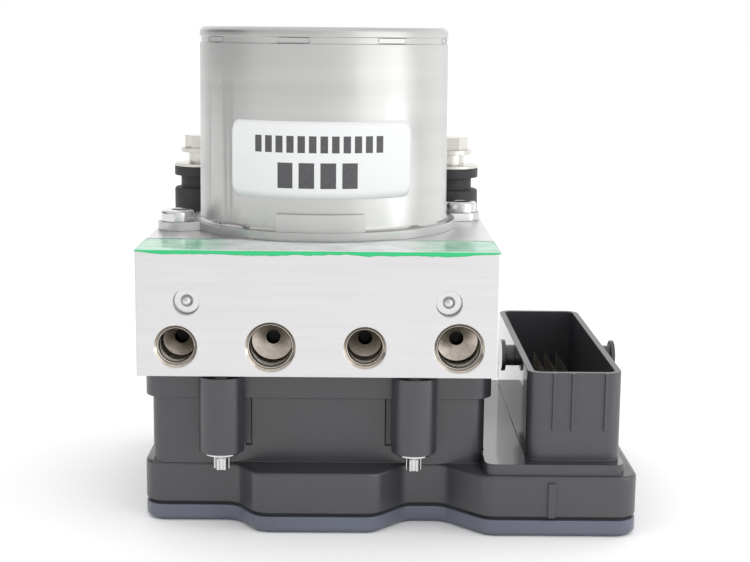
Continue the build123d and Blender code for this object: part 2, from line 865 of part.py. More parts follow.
with BuildPart() as brushes:
    with BuildSketch(Plane.XY.offset(brush_z - brush_height / 2)):
        Rectangle(2 * brush_back, brush_width)
        Circle(brush_start, mode=Mode.SUBTRACT)
    extrude(amount=brush_height)
write(brushes, "brushes")

with BuildPart() as brush_springs:
    for side in (-1, 1):
        seat = Plane(origin=(side * brush_back, 0, brush_z), x_dir=(0, 1, 0), z_dir=(side, 0, 0))
        add(
            spring(
                seat,
                brush_height / 2 - 2 * brush_spring_wire,
                brush_spring_wire,
                brush_box_end - brush_box_wall - brush_back,
                brush_spring_turns,
            )
        )
write(brush_springs, "brush_springs")

with BuildPart() as motor_contact_rod:
    with BuildSketch(Plane.XY.offset(slab_top)):
        with Locations((0, contact_rod_y)):
            Circle(contact_rod_radius)
    extrude(amount=block_top - slab_top)
    with BuildSketch(Plane.XY.offset(board_top)):
        with Locations((0, contact_rod_y)):
            with GridLocations(contact_pin_spacing, 0, 2, 1):
                Rectangle(2 * contact_pin_half, 2 * contact_pin_half)
    extrude(amount=slab_top - board_top)
write(motor_contact_rod, "motor_contact_rod")

with BuildPart() as motor_seal:
    with BuildSketch(Plane.XY.offset(block_top - seal_ring_depth)):
        Circle(seal_ring_radius + seal_ring_half_width)
        Circle(seal_ring_radius - seal_ring_half_width, mode=Mode.SUBTRACT)
    extrude(amount=seal_ring_depth)
write(motor_seal, "motor_seal")

# Pump elements on both sides: piston, return spring, liner and plug
pump_sides = {"left": -1, "right": 1}
for side_name, side in pump_sides.items():
    with BuildPart() as pump_piston:
        with BuildSketch(Plane.YZ.offset(side * piston_tip_x)):
            with Locations((0, pump_z)):
                Circle(piston_radius)
        extrude(amount=side * (piston_end_x - piston_tip_x))
    write(pump_piston, f"pump_piston_{side_name}")
    spring_seat = Plane(origin=(side * piston_end_x, 0, pump_z), x_dir=(0, 1, 0), z_dir=(side, 0, 0))
    with BuildPart() as pump_spring:
        add(
            spring(
                spring_seat,
                piston_radius - pump_spring_wire,
                pump_spring_wire,
                pump_plug_inner_x - pump_liner_wall - piston_end_x,
                pump_spring_turns,
            )
        )
    write(pump_spring, f"pump_spring_{side_name}")

with BuildPart() as pump_liners:
    for side in pump_sides.values():
        with BuildSketch(Plane.YZ.offset(side * pump_plug_inner_x)):
            with Locations((0, pump_z)):
                Circle(pump_bore_radius - seat_gap)
        extrude(amount=-side * pump_liner_length)
        with BuildSketch(Plane.YZ.offset(side * (pump_plug_inner_x - pump_liner_wall))):
            with Locations((0, pump_z)):
                Circle(pump_bore_radius - seat_gap - pump_liner_wall)
        extrude(amount=-side * pump_liner_length, mode=Mode.SUBTRACT)
write(pump_liners, "pump_liners")

with BuildPart() as pump_plugs:
    for side in pump_sides.values():
        with BuildSketch(Plane.YZ.offset(side * pump_plug_inner_x)):
            with Locations((0, pump_z)):
                Circle(pump_bore_radius - seat_gap)
        extrude(amount=side * pump_plug_length)
        with BuildSketch(Plane.YZ.offset(side * block_half_width)):
            with Locations((0, pump_z)):
                RegularPolygon(pump_plug_socket_radius, 6)
        extrude(amount=-side * pump_plug_socket_depth, mode=Mode.SUBTRACT)
write(pump_plugs, "pump_plugs")

# Low pressure accumulators: cup piston, spring and pressed cap in each rear bore
accumulator_floor_y = block_rear - accumulator_depth
accumulator_face_y = accumulator_floor_y + open_gap
accumulator_seat_y = accumulator_face_y + accumulator_piston_length - accumulator_piston_recess
accumulator_cap_y = block_rear - accumulator_cap_thickness
for side_name, side in pump_sides.items():
    with BuildPart() as accumulator_piston:
        with BuildSketch(Plane.XZ.offset(-accumulator_face_y)):
            with Locations((side * accumulator_x, accumulator_z)):
                Circle(accumulator_radius - running_gap)
        extrude(amount=-accumulator_piston_length)
        with BuildSketch(Plane.XZ.offset(-accumulator_seat_y)):
            with Locations((side * accumulator_x, accumulator_z)):
                Circle(accumulator_radius - running_gap - accumulator_piston_wall)
        extrude(amount=-accumulator_piston_recess, mode=Mode.SUBTRACT)
    write(accumulator_piston, f"accumulator_piston_{side_name}")
    with BuildPart() as accumulator_spring:
        add(
            spring(
                Plane(
                    origin=(side * accumulator_x, accumulator_seat_y, accumulator_z),
                    x_dir=(1, 0, 0),
                    z_dir=(0, 1, 0),
                ),
                accumulator_radius - accumulator_piston_wall - 2 * accumulator_spring_wire,
                accumulator_spring_wire,
                accumulator_cap_y - accumulator_seat_y,
                accumulator_spring_turns,
            )
        )
    write(accumulator_spring, f"accumulator_spring_{side_name}")

with BuildPart() as accumulator_caps:
    with BuildSketch(Plane.XZ.offset(-block_rear)):
        with Locations((0, accumulator_z)):
            with GridLocations(2 * accumulator_x, 0, 2, 1):
                Circle(accumulator_radius - seat_gap)
    extrude(amount=accumulator_cap_thickness)
    with BuildSketch(Plane.XZ.offset(-block_rear)):
        with Locations((0, accumulator_z)):
            with GridLocations(2 * accumulator_x, 0, 2, 1):
                Circle(accumulator_radius - accumulator_piston_wall)
    extrude(amount=accumulator_cap_dish, mode=Mode.SUBTRACT)
write(accumulator_caps, "accumulator_caps")

# Solenoid valves: cartridge with a thin dome, and the armature that slides in it
valve_rows_by_name = ["inlet_valves", "outlet_valves", "circuit_valves"]
cavity_bottom = valve_dome_bottom + valve_dome_wall
cavity_radius = valve_dome_radius - valve_dome_wall
armature_z = cavity_bottom + armature_bottom_gap
for row, name in enumerate(valve_rows_by_name):
    row_places = valve_places[row * valve_columns:(row + 1) * valve_columns]
    with BuildPart() as valves:
        with BuildSketch(Plane.XY.offset(block_bottom)):
            with Locations(row_places):
                Circle(valve_bore_radius - seat_gap)
        extrude(amount=valve_bore_depth)
        with BuildSketch(Plane.XY.offset(valve_dome_bottom)):
            with Locations(row_places):
                Circle(valve_dome_radius)
        extrude(amount=block_bottom - valve_dome_bottom)
        with BuildSketch(Plane.XY.offset(cavity_bottom)):
            with Locations(row_places):
                Circle(cavity_radius)
        extrude(amount=valve_cavity_top - cavity_bottom, mode=Mode.SUBTRACT)
        with BuildSketch(Plane.XY.offset(valve_cavity_top)):
            with Locations(row_places):
                Circle(valve_orifice_radius)
        extrude(amount=block_bottom + valve_bore_depth - valve_cavity_top, mode=Mode.SUBTRACT)
    write(valves, name)

for index, place in enumerate(valve_places):
    with BuildPart() as valve_armature:
        with BuildSketch(Plane.XY.offset(armature_z)):
            with Locations(place):
                Circle(cavity_radius - 2 * running_gap)
        extrude(amount=armature_length)
        with BuildSketch(Plane.XY.offset(armature_z + armature_length)):
            with Locations(place):
                Circle(push_rod_radius)
        extrude(amount=push_rod_length)
    write(valve_armature, f"valve_armature_{index + 1}")

# Coils on their bobbins, and the steel yokes around them
with BuildPart() as coils:
    with BuildSketch(Plane.XY.offset(coil_bottom)):
        with Locations(valve_places):
            Circle(coil_outer_radius)
        with Locations(valve_places):
            Circle(coil_inner_radius, mode=Mode.SUBTRACT)
    extrude(amount=coil_top - coil_bottom)
    with BuildSketch(Plane.XY.offset(board_top)):
        with Locations(valve_places):
            with GridLocations(2 * coil_pin_offset, 0, 2, 1):
                Rectangle(2 * coil_pin_half, 2 * coil_pin_half)
    extrude(amount=coil_bottom - board_top)
write(coils, "coils")

with BuildPart() as coil_yokes:
    with BuildSketch(Plane.XY.offset(yoke_bottom)):
        with Locations(valve_places):
            Circle(yoke_outer_radius)
    extrude(amount=yoke_top - yoke_bottom)
    with BuildSketch(Plane.XY.offset(coil_bottom)):
        with Locations(valve_places):
            Circle(coil_outer_radius + seat_gap)
        with Locations(valve_places):
            Rectangle(2 * yoke_outer_radius, yoke_window_width)
    extrude(amount=coil_top - coil_bottom, mode=Mode.SUBTRACT)
    with BuildSketch(Plane.XY.offset(coil_top)):
        with Locations(valve_places):
            Circle(valve_dome_radius + seat_gap)
    extrude(amount=yoke_plate, mode=Mode.SUBTRACT)
    with BuildSketch(Plane.XY.offset(yoke_bottom)):
        with Locations(valve_places):
            Rectangle(coil_slot_length, coil_slot_width)
    extrude(amount=yoke_plate, mode=Mode.SUBTRACT)
write(coil_yokes, "coil_yokes")

with BuildPart() as pressure_sensor:
    with BuildSketch(Plane.XY.offset(sensor_bottom)):
        with Locations((sensor_x, sensor_y)):
            Circle(sensor_radius)
    extrude(amount=block_bottom - sensor_bottom)
    with BuildSketch(Plane.XY.offset(block_bottom)):
        with Locations((sensor_x, sensor_y)):
            Circle(sensor_tip_radius - seat_gap)
    extrude(amount=sensor_bore_depth)
write(pressure_sensor, "pressure_sensor")

# Rubber mounts with their flanged sleeves and bolts
with BuildPart() as rubber_mounts:
    with BuildSketch(Plane.XY.offset(block_top)):
        with Locations(mount_places):
            Circle(mount_radius)
    extrude(amount=mount_body_height)
    fillet(faces().group_by(Axis.Z)[-1].edges(), radius=mount_edge)
    with BuildSketch(Plane.XY.offset(block_top + mount_body_height)):
        with Locations(mount_places):
            Circle(mount_neck_radius)
    extrude(amount=mount_neck_height)
    with BuildSketch(Plane.XY.offset(mount_rubber_top)):
        with Locations(mount_places):
            Circle(mount_radius)
    extrude(amount=-mount_collar_height)
    with BuildSketch(Plane.XY.offset(block_top)):
        with Locations(mount_places):
            Circle(sleeve_outer_radius + seat_gap)
    extrude(amount=mount_rubber_top - block_top, mode=Mode.SUBTRACT)
write(rubber_mounts, "rubber_mounts")

sleeve_top = mount_rubber_top + sleeve_washer_height + sleeve_top_height
with BuildPart() as mount_sleeves:
    with BuildSketch(Plane.XY.offset(block_top)):
        with Locations(mount_places):
            Circle(sleeve_outer_radius)
    extrude(amount=sleeve_top - block_top)
    with BuildSketch(Plane.XY.offset(mount_rubber_top)):
        with Locations(mount_places):
            Circle(mount_radius)
    extrude(amount=sleeve_washer_height)
    with BuildSketch(Plane.XY.offset(block_top)):
        with Locations(mount_places):
            Circle(sleeve_inner_radius)
    extrude(amount=sleeve_top - block_top, mode=Mode.SUBTRACT)
write(mount_sleeves, "mount_sleeves")

with BuildPart() as mount_bolts:
    with BuildSketch(Plane.XY.offset(block_top - mount_bolt_depth)):
        with Locations(mount_places):
            Circle(mount_bolt_radius)
    extrude(amount=sleeve_top - block_top + mount_bolt_depth)
    with BuildSketch(Plane.XY.offset(sleeve_top)):
        with Locations(mount_places):
            Circle(mount_bolt_flange_radius)
    extrude(amount=mount_bolt_flange_height)
    with BuildSketch(Plane.XY.offset(sleeve_top + mount_bolt_flange_height)):
        with Locations(mount_places):
            RegularPolygon(mount_bolt_head_flats / 2, 6, major_radius=False)
    extrude(amount=mount_bolt_head_height)
write(mount_bolts, "mount_bolts")

# Control unit lid and its seal
with BuildPart() as unit_cover:
    with BuildSketch():
        unit_outline()
    extrude(amount=lid_height)
    chamfer(faces().sort_by(Axis.Z)[0].edges(), length=lid_edge)
    with BuildSketch(Plane.XY.offset(lid_thickness)):
        unit_outline(unit_wall)
    extrude(amount=lid_height - lid_thickness, mode=Mode.SUBTRACT)
write(unit_cover, "unit_cover")

with BuildPart() as unit_seal:
    with BuildSketch(Plane.XY.offset(lid_height)):
        unit_outline(seal_inset)
    extrude(amount=seal_height)
    with BuildSketch(Plane.XY.offset(lid_height)):
        unit_outline(seal_inset + seal_width)
    extrude(amount=seal_height, mode=Mode.SUBTRACT)
write(unit_seal, "unit_seal")

# Pins of the plug: one grid of thin signal pins and the power blades at the near end
pin_grid_y = partition_y + signal_pin_start + signal_pin_column_pitch * (signal_pin_columns - 1) / 2
blade_y = (partition_y - socket_front) / 2


def signal_pin_sketch(half_side):
    """Add the square sections of every signal pin to the sketch that is open."""
    with Locations((socket_middle_x, pin_grid_y)):
        with GridLocations(
            signal_pin_row_pitch, signal_pin_column_pitch, signal_pin_rows, signal_pin_columns
        ):
            Rectangle(2 * half_side, 2 * half_side)


def power_blade_sketch(margin):
    """Add the sections of the power blades to the sketch that is open."""
    with Locations((socket_middle_x, blade_y)):
        with GridLocations(0, power_blade_pitch, 1, power_blade_count):
            Rectangle(power_blade_width + 2 * margin, power_blade_thickness + 2 * margin)


with BuildPart() as signal_pins:
    with BuildSketch(Plane.XY.offset(board_top)):
        signal_pin_sketch(signal_pin_half)
    extrude(amount=pin_top - board_top)
write(signal_pins, "signal_pins")

with BuildPart() as power_blades:
    with BuildSketch(Plane.XY.offset(board_top)):
        power_blade_sketch(0)
    extrude(amount=pin_top - board_top)
write(power_blades, "power_blades")

# Control unit housing, one moulding: slab, plinth, coil box, screw towers and plug socket
plinth_right = unit_right - plinth_side_margin
plinth_front = socket_side_front - plinth_margin
plinth_rear = unit_rear - plinth_margin
plinth_middle = ((plinth_left_x + plinth_right) / 2, (plinth_rear - plinth_front) / 2)
plinth_width = plinth_right - plinth_left_x
plinth_depth = plinth_front + plinth_rear
front_rib_x = unit_right - front_rib_inset
tower_groove_x = tower_x - tower_radius - tower_groove_width / 2
slab_post_places = [
    (post_inset - unit_left, unit_rear - post_inset),
    (0, unit_rear - post_inset),
    (0, post_inset - unit_front),
]
plinth_post_places = [
    (plinth_left_x + post_inset, recess_depth + 2 * post_inset - unit_front),
    (plinth_left_x + post_inset, unit_rear - 2 * post_inset),
    (unit_right - 2 * post_inset, plinth_rear - post_inset),
]
with BuildPart() as unit_housing:
    # Slab with the wavy edge
    with BuildSketch(Plane.XY.offset(slab_bottom)):
        unit_outline()
    extrude(amount=slab_top - slab_bottom)
    fillet(faces().sort_by(Axis.Z)[-1].edges(), radius=slab_edge)
    # Plinth under the socket
    with BuildSketch(Plane.XY.offset(slab_ceiling)):
        with Locations(plinth_middle):
            RectangleRounded(plinth_width, plinth_depth, outline_radius / 2)
    extrude(amount=plinth_top - slab_ceiling)
    # Rib on the slab's front
    with BuildSketch(Plane.XY.offset(slab_bottom)):
        with Locations((front_rib_x, -socket_side_front)):
            Rectangle(front_rib_width, 2 * front_rib_depth)
    extrude(amount=front_rib_height)
    # Coil box and its collar
    with BuildSketch(Plane.XY.offset(slab_ceiling)):
        with Locations((0, box_middle_y)):
            RectangleRounded(2 * box_half_width, box_depth, box_corner)
    extrude(amount=box_top - slab_ceiling)
    with BuildSketch(Plane.XY.offset(box_top)):
        with Locations((0, box_middle_y)):
            RectangleRounded(
                2 * (box_half_width + collar_depth), box_depth + 2 * collar_depth, box_corner + collar_depth
            )
    extrude(amount=-collar_height)
    # Screw towers
    with BuildSketch(Plane.XY.offset(tower_bottom)):
        with Locations(tower_places):
            Circle(tower_radius)
    extrude(amount=tower_height)
    # Grooves in the box's front wall beside the towers
    with BuildSketch(Plane.XY.offset(tower_bottom)):
        with Locations((0, -box_front)):
            with GridLocations(2 * tower_groove_x, 0, 2, 1):
                Rectangle(tower_groove_width, 2 * tower_groove_depth)
    extrude(amount=box_top - collar_height - tower_bottom, mode=Mode.SUBTRACT)
    # Plug socket with coding ribs on its near face, and the lever pivots
    with BuildSketch(Plane.XY.offset(slab_ceiling)):
        with Locations((socket_middle_x, socket_middle_y)):
            RectangleRounded(socket_width, socket_depth, socket_corner)
    extrude(amount=socket_top - slab_ceiling)
    with BuildSketch(Plane.XY.offset(socket_top)):
        for inset in socket_rib_insets:
            with Locations((socket_right - inset, -socket_front)):
                Rectangle(socket_rib_width, 2 * socket_rib_depth)
    extrude(amount=-socket_rib_length)
    with BuildSketch(Plane.YZ.offset(socket_left - pivot_length)):
        with Locations((pivot_y, pivot_z)):
            Circle(pivot_radius)
    extrude(amount=socket_width + 2 * pivot_length)
    for x, side in ((socket_left - pivot_length, 1), (socket_right + pivot_length, -1)):
        with BuildSketch(Plane.YZ.offset(x)):
            with Locations((pivot_y, pivot_z)):
                Circle(pivot_head_radius)
        extrude(amount=side * pivot_head_height)
    # Hollows: slab, plinth, coil box and socket
    with BuildSketch(Plane.XY.offset(slab_bottom)):
        unit_outline(unit_wall)
    extrude(amount=slab_ceiling - slab_bottom, mode=Mode.SUBTRACT)
    with BuildSketch(Plane.XY.offset(slab_ceiling)):
        with Locations(plinth_middle):
            Rectangle(plinth_width - 2 * unit_wall, plinth_depth - 2 * unit_wall)
    extrude(amount=plinth_top - unit_wall - slab_ceiling, mode=Mode.SUBTRACT)
    with BuildSketch(Plane.XY.offset(slab_top)):
        with Locations((0, box_middle_y)):
            RectangleRounded(
                2 * (box_half_width - unit_wall), box_depth - 2 * unit_wall, box_corner - unit_wall
            )
    extrude(amount=box_top - slab_top, mode=Mode.SUBTRACT)
    with BuildSketch(Plane.XY.offset(socket_floor_z)):
        with Locations((socket_middle_x, socket_middle_y)):
            RectangleRounded(
                socket_width - 2 * socket_wall, socket_depth - 2 * socket_wall, socket_corner - socket_wall
            )
    extrude(amount=socket_top - socket_floor_z, mode=Mode.SUBTRACT)
    # Cross wall and two ribs inside the socket
    with BuildSketch(Plane.XY.offset(socket_floor_z)):
        with Locations((socket_middle_x, partition_y)):
            Rectangle(socket_width - 2 * socket_wall, socket_wall)
    extrude(amount=partition_height)
    # Ways through the floors for coil pins, contact rod pins and plug pins
    with BuildSketch(Plane.XY.offset(slab_ceiling)):
        with Locations(valve_places):
            Rectangle(coil_slot_length, coil_slot_width)
        with Locations((0, contact_rod_y)):
            Rectangle(coil_slot_length, coil_slot_width)
    extrude(amount=unit_wall, mode=Mode.SUBTRACT)
    with BuildSketch(Plane.XY.offset(plinth_top - unit_wall)):
        signal_pin_sketch(signal_pin_half + seat_gap)
        power_blade_sketch(seat_gap)
    extrude(amount=unit_wall + socket_floor, mode=Mode.SUBTRACT)
    # Screw clearance through the towers
    with BuildSketch(Plane.XY.offset(tower_bottom)):
        with Locations(tower_places):
            Circle(long_screw_radius + open_gap)
    extrude(amount=box_top - tower_bottom, mode=Mode.SUBTRACT)
    # Posts that carry the circuit board
    with BuildSketch(Plane.XY.offset(board_top)):
        with Locations(slab_post_places):
            Circle(post_radius)
    extrude(amount=slab_ceiling - board_top)
    with BuildSketch(Plane.XY.offset(board_top)):
        with Locations(plinth_post_places):
            Circle(post_radius)
    extrude(amount=plinth_top - unit_wall - board_top)
write(unit_housing, "unit_housing")

with BuildPart() as circuit_board:
    with BuildSketch(Plane.XY.offset(board_bottom)):
        unit_outline(unit_wall + board_edge_gap)
    extrude(amount=board_thickness)
write(circuit_board, "circuit_board")

capacitor_x = (plinth_left_x + unit_wall + socket_left) / 2
with BuildPart() as board_components:
    with BuildSketch(Plane.XY.offset(board_bottom)):
        for index, (width, depth) in enumerate(chip_sizes):
            with Locations((socket_middle_x - index * chip_pitch, 0)):
                Rectangle(width, depth)
    extrude(amount=-chip_height)
    with BuildSketch(Plane.XY.offset(board_top)):
        with Locations((capacitor_x, 0)):
            with GridLocations(0, capacitor_pitch, 1, 2):
                Circle(capacitor_radius)
    extrude(amount=capacitor_height)
write(board_components, "board_components")

# Long screws that pull the control unit up to the block, heads down
long_screw_cone_bottom = long_screw_head_radius - long_screw_lobe_radius
long_screw_head_top = tower_bottom - long_screw_flange_height - long_screw_cone_height
with BuildPart() as long_screws:
    with BuildSketch(Plane.XY.offset(tower_bottom)):
        with Locations(tower_places):
            Circle(long_screw_radius)
    extrude(amount=block_bottom + long_screw_thread - tower_bottom)
    with BuildSketch(Plane.XY.offset(tower_bottom)):
        with Locations(tower_places):
            Circle(long_screw_flange_radius)
    extrude(amount=-long_screw_flange_height)
    with Locations([(x, y, tower_bottom - long_screw_flange_height) for x, y in tower_places]):
        Cone(
            long_screw_cone_bottom,
            long_screw_cone_radius,
            long_screw_cone_height,
            align=(Align.CENTER, Align.CENTER, Align.MAX),
        )
    with BuildSketch(Plane.XY.offset(long_screw_head_top)):
        with Locations(tower_places):
            Circle(long_screw_head_radius - long_screw_lobe_radius)
            with PolarLocations(long_screw_head_radius - long_screw_lobe_radius, long_screw_lobes):
                Circle(long_screw_lobe_radius)
    extrude(amount=-long_screw_head_height)
write(long_screws, "long_screws")
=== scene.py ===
"""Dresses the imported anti-lock brake module: rounded edges, threads, film, label, finishes and a studio."""

import json
import math

import bmesh
import bpy
from bpy.props import FloatProperty, FloatVectorProperty, PointerProperty
from mathutils import Matrix, Vector, noise
from mathutils.bvhtree import BVHTree

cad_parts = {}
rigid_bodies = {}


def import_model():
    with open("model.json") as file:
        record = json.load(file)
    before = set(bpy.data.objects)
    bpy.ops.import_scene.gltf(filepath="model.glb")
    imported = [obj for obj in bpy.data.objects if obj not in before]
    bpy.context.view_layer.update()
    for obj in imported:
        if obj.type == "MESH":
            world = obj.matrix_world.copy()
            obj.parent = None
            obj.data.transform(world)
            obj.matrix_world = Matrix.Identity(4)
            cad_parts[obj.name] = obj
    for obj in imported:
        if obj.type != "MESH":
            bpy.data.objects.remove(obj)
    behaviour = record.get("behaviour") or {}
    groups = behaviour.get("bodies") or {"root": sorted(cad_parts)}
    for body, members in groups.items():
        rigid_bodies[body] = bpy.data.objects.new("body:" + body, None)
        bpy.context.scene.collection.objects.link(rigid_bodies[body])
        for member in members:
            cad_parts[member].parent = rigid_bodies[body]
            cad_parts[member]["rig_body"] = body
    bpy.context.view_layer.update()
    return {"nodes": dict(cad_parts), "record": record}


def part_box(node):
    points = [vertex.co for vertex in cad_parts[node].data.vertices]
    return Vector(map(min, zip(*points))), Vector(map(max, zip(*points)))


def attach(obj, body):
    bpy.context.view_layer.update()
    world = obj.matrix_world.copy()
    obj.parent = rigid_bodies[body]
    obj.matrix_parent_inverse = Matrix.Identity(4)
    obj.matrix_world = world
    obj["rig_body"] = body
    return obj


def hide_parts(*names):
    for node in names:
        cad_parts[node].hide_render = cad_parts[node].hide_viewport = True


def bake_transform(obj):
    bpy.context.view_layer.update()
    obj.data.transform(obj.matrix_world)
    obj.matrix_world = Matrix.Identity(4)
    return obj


bl_info = {
    "name": "Anti-lock Brake Module",
    "version": (1, 0, 0),
    "blender": (4, 5, 0),
    "location": "3D View > Sidebar > Brake Module",
    "description": "Finishes an anti-lock brake module around its construction model",
    "category": "Object",
}

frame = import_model()

# Sizes read from the frame, in metres
MM = 0.001
block_low, block_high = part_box("hydraulic_block")
label_low, label_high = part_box("motor_label")
film_low, film_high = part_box("cover_film")
mounts = {mount["name"]: mount for mount in frame["record"]["mounts"]}
openings = {opening["name"]: opening for opening in frame["record"]["physics"]["openings"]}
slots = {part["node"]: part["material_slot"] for part in frame["record"]["subparts"]}

# What the record doesn't give: radii of the top ports and the drillings, and two thicknesses
TOP_PORT_RADIUS = 6.0 * MM
DRILLING_RADIUS = 2.0 * MM
LABEL_THICKNESS = 0.14 * MM
FILM_THICKNESS = 0.07 * MM


class Finish:
    """A material under construction, patterned on the piece's own coordinates."""

    def __init__(self, name):
        self.material = bpy.data.materials.new(name)
        self.material.use_nodes = True
        tree = self.material.node_tree
        self.nodes = tree.nodes
        self.links = tree.links
        self.surface = tree.nodes["Principled BSDF"]
        self.place = tree.nodes.new("ShaderNodeTexCoord").outputs["Object"]

    def feed(self, socket, value):
        """Link a socket to another, or set its value."""
        if isinstance(value, bpy.types.NodeSocket):
            self.links.new(value, socket)
        else:
            socket.default_value = value

    def add(self, kind, inputs, **settings):
        """Add a shader node with its settings and inputs."""
        node = self.nodes.new("ShaderNode" + kind)
        for name, value in settings.items():
            setattr(node, name, value)
        for name, value in inputs.items():
            self.feed(node.inputs[name], value)
        return node

    def grain(self, scale, detail=4.0, stretch=(1.0, 1.0, 1.0)):
        """Return noise on the object's coordinates, stretched along its axes."""
        vector = self.add("Mapping", {"Vector": self.place, "Scale": stretch}).outputs["Vector"]
        return self.add("TexNoise", {"Vector": vector, "Scale": scale, "Detail": detail}).outputs["Fac"]

    def spots(self, scale, size):
        """Return small scattered spots, one where a spot is and zero elsewhere."""
        distance = self.add("TexVoronoi", {"Vector": self.place, "Scale": scale}).outputs["Distance"]
        return self.span(distance, 1.0, 0.0, size * 0.7, size)

    def span(self, value, low, high, start=0.3, end=0.7):
        """Map a value between start and end to low and high."""
        inputs = {"Value": value, "From Min": start, "From Max": end, "To Min": low, "To Max": high}
        return self.add("MapRange", inputs).outputs["Result"]

    def sum(self, first, second, operation="ADD"):
        """Return the two values joined by a sum or another operation."""
        node = self.add("Math", {}, operation=operation)
        self.feed(node.inputs[0], first)
        self.feed(node.inputs[1], second)
        return node.outputs["Value"]

    def mix(self, factor, first, second):
        """Return a colour between two others."""
        node = self.add("Mix", {}, data_type="RGBA")
        self.feed(node.inputs[0], factor)
        self.feed(node.inputs[6], first)
        self.feed(node.inputs[7], second)
        return node.outputs[2]

    def relief(self, height, depth, below=None):
        """Return a bump of a height over the one below it."""
        node = self.add("Bump", {"Height": height, "Distance": depth})
        if below is not None:
            self.feed(node.inputs["Normal"], below)
        return node.outputs["Normal"]

    def finish(self, inputs):
        """Set the surface's sockets and return the material."""
        for name, value in inputs.items():
            self.feed(self.surface.inputs[name], value)
        return self.material


def opaque(colour):
    """Return a colour with full opacity."""
    return (*colour[:3], 1.0)


def shade(colour, factor):
    """Return a colour made lighter or darker."""
    return (*(channel * factor for channel in colour[:3]), 1.0)


def machined_metal(name, colour, roughness, lines=(30.0, 900.0, 900.0), strength=1.0):
    """Metal with fine tool lines along X and a faint cloudiness."""
    look = Finish(name)
    tool_lines = look.grain(1.0, 3.0, lines)
    clouds = look.grain(60.0, 3.0)
    colour_factor = look.span(look.sum(tool_lines, clouds), 0.0, 1.0, 0.7, 1.3)
    rough = look.span(clouds, roughness * 0.85, roughness * 1.15)
    return look.finish({
        "Base Color": look.mix(colour_factor, shade(colour, 1 - 0.05 * strength), shade(colour, 1.02)),
        "Metallic": 1.0,
        "Roughness": rough,
        "Normal": look.relief(tool_lines, 0.012 * MM * strength),
    })


def bore_metal(name, colour):
    """Metal inside a bore, with rings left by the tool."""
    look = Finish(name)
    rings = look.grain(900.0, 2.0)
    return look.finish({
        "Base Color": look.mix(rings, shade(colour, 0.8), shade(colour, 1.15)),
        "Metallic": 1.0,
        "Roughness": 0.22,
        "Normal": look.relief(rings, 0.01 * MM),
    })


def rolled_steel(name, colour, roughness):
    """Drawn and plated sheet steel: faint bands round the can, small marks and scratches."""
    look = Finish(name)
    bands = look.grain(1.0, 4.0, (14.0, 14.0, 260.0))
    clouds = look.grain(45.0, 5.0)
    scratches = look.spots(170.0, 0.12)
    colour_factor = look.span(look.sum(bands, clouds), 0.0, 1.0, 0.75, 1.25)
    tone = look.mix(colour_factor, shade(colour, 0.94), shade(colour, 1.03))
    height = look.sum(bands, look.sum(scratches, -0.6, "MULTIPLY"))
    return look.finish({
        "Base Color": tone,
        "Metallic": 1.0,
        "Roughness": look.span(clouds, roughness * 0.8, roughness * 1.25),
        "Normal": look.relief(height, 0.02 * MM),
    })


def plated_steel(name, colour, roughness, speckle=0.06):
    """Zinc plated steel with a cloudy passivated skin."""
    look = Finish(name)
    clouds = look.grain(350.0, 4.0)
    fine = look.grain(2600.0, 2.0)
    tone = look.mix(look.span(clouds, 0.0, 1.0), shade(colour, 1 - speckle), shade(colour, 1 + speckle / 2))
    return look.finish({
        "Base Color": tone,
        "Metallic": 1.0,
        "Roughness": look.span(clouds, roughness * 0.75, roughness * 1.3),
        "Normal": look.relief(fine, 0.01 * MM),
    })


def moulded_plastic(name, colour, roughness, grain_depth, dust=0.0, specular=0.5):
    """Glass-filled moulded plastic with a fine grain, flow clouds and, outside, a little dust."""
    look = Finish(name)
    grain = look.grain(2200.0, 2.0)
    flow = look.grain(38.0, 4.0, (1.0, 1.0, 0.6))
    specks = look.spots(95.0, 0.035)
    body = look.mix(look.span(flow, 0.0, 1.0), shade(colour, 0.86), shade(colour, 1.14))
    dusty = look.mix(look.sum(specks, dust, "MULTIPLY"), body, (0.45, 0.45, 0.44, 1.0))
    return look.finish({
        "Base Color": dusty,
        "Roughness": look.span(flow, roughness * 0.88, roughness * 1.15),
        "Specular IOR Level": specular,
        "Normal": look.relief(grain, grain_depth),
    })


def outer_plastic(name, colour, roughness, grain_depth):
    """Moulded plastic on the outside: a little shinier, and dusty."""
    return moulded_plastic(name, colour, roughness, grain_depth, dust=0.5, specular=0.9)


def soft_rubber(name, colour):
    """Matt rubber with a slight bloom."""
    look = Finish(name)
    bloom = look.grain(220.0, 4.0)
    fine = look.grain(3000.0, 2.0)
    return look.finish({
        "Base Color": look.mix(look.span(bloom, 0.0, 1.0), shade(colour, 0.8), shade(colour, 1.25)),
        "Roughness": look.span(bloom, 0.5, 0.68),
        "Normal": look.relief(fine, 0.02 * MM),
    })


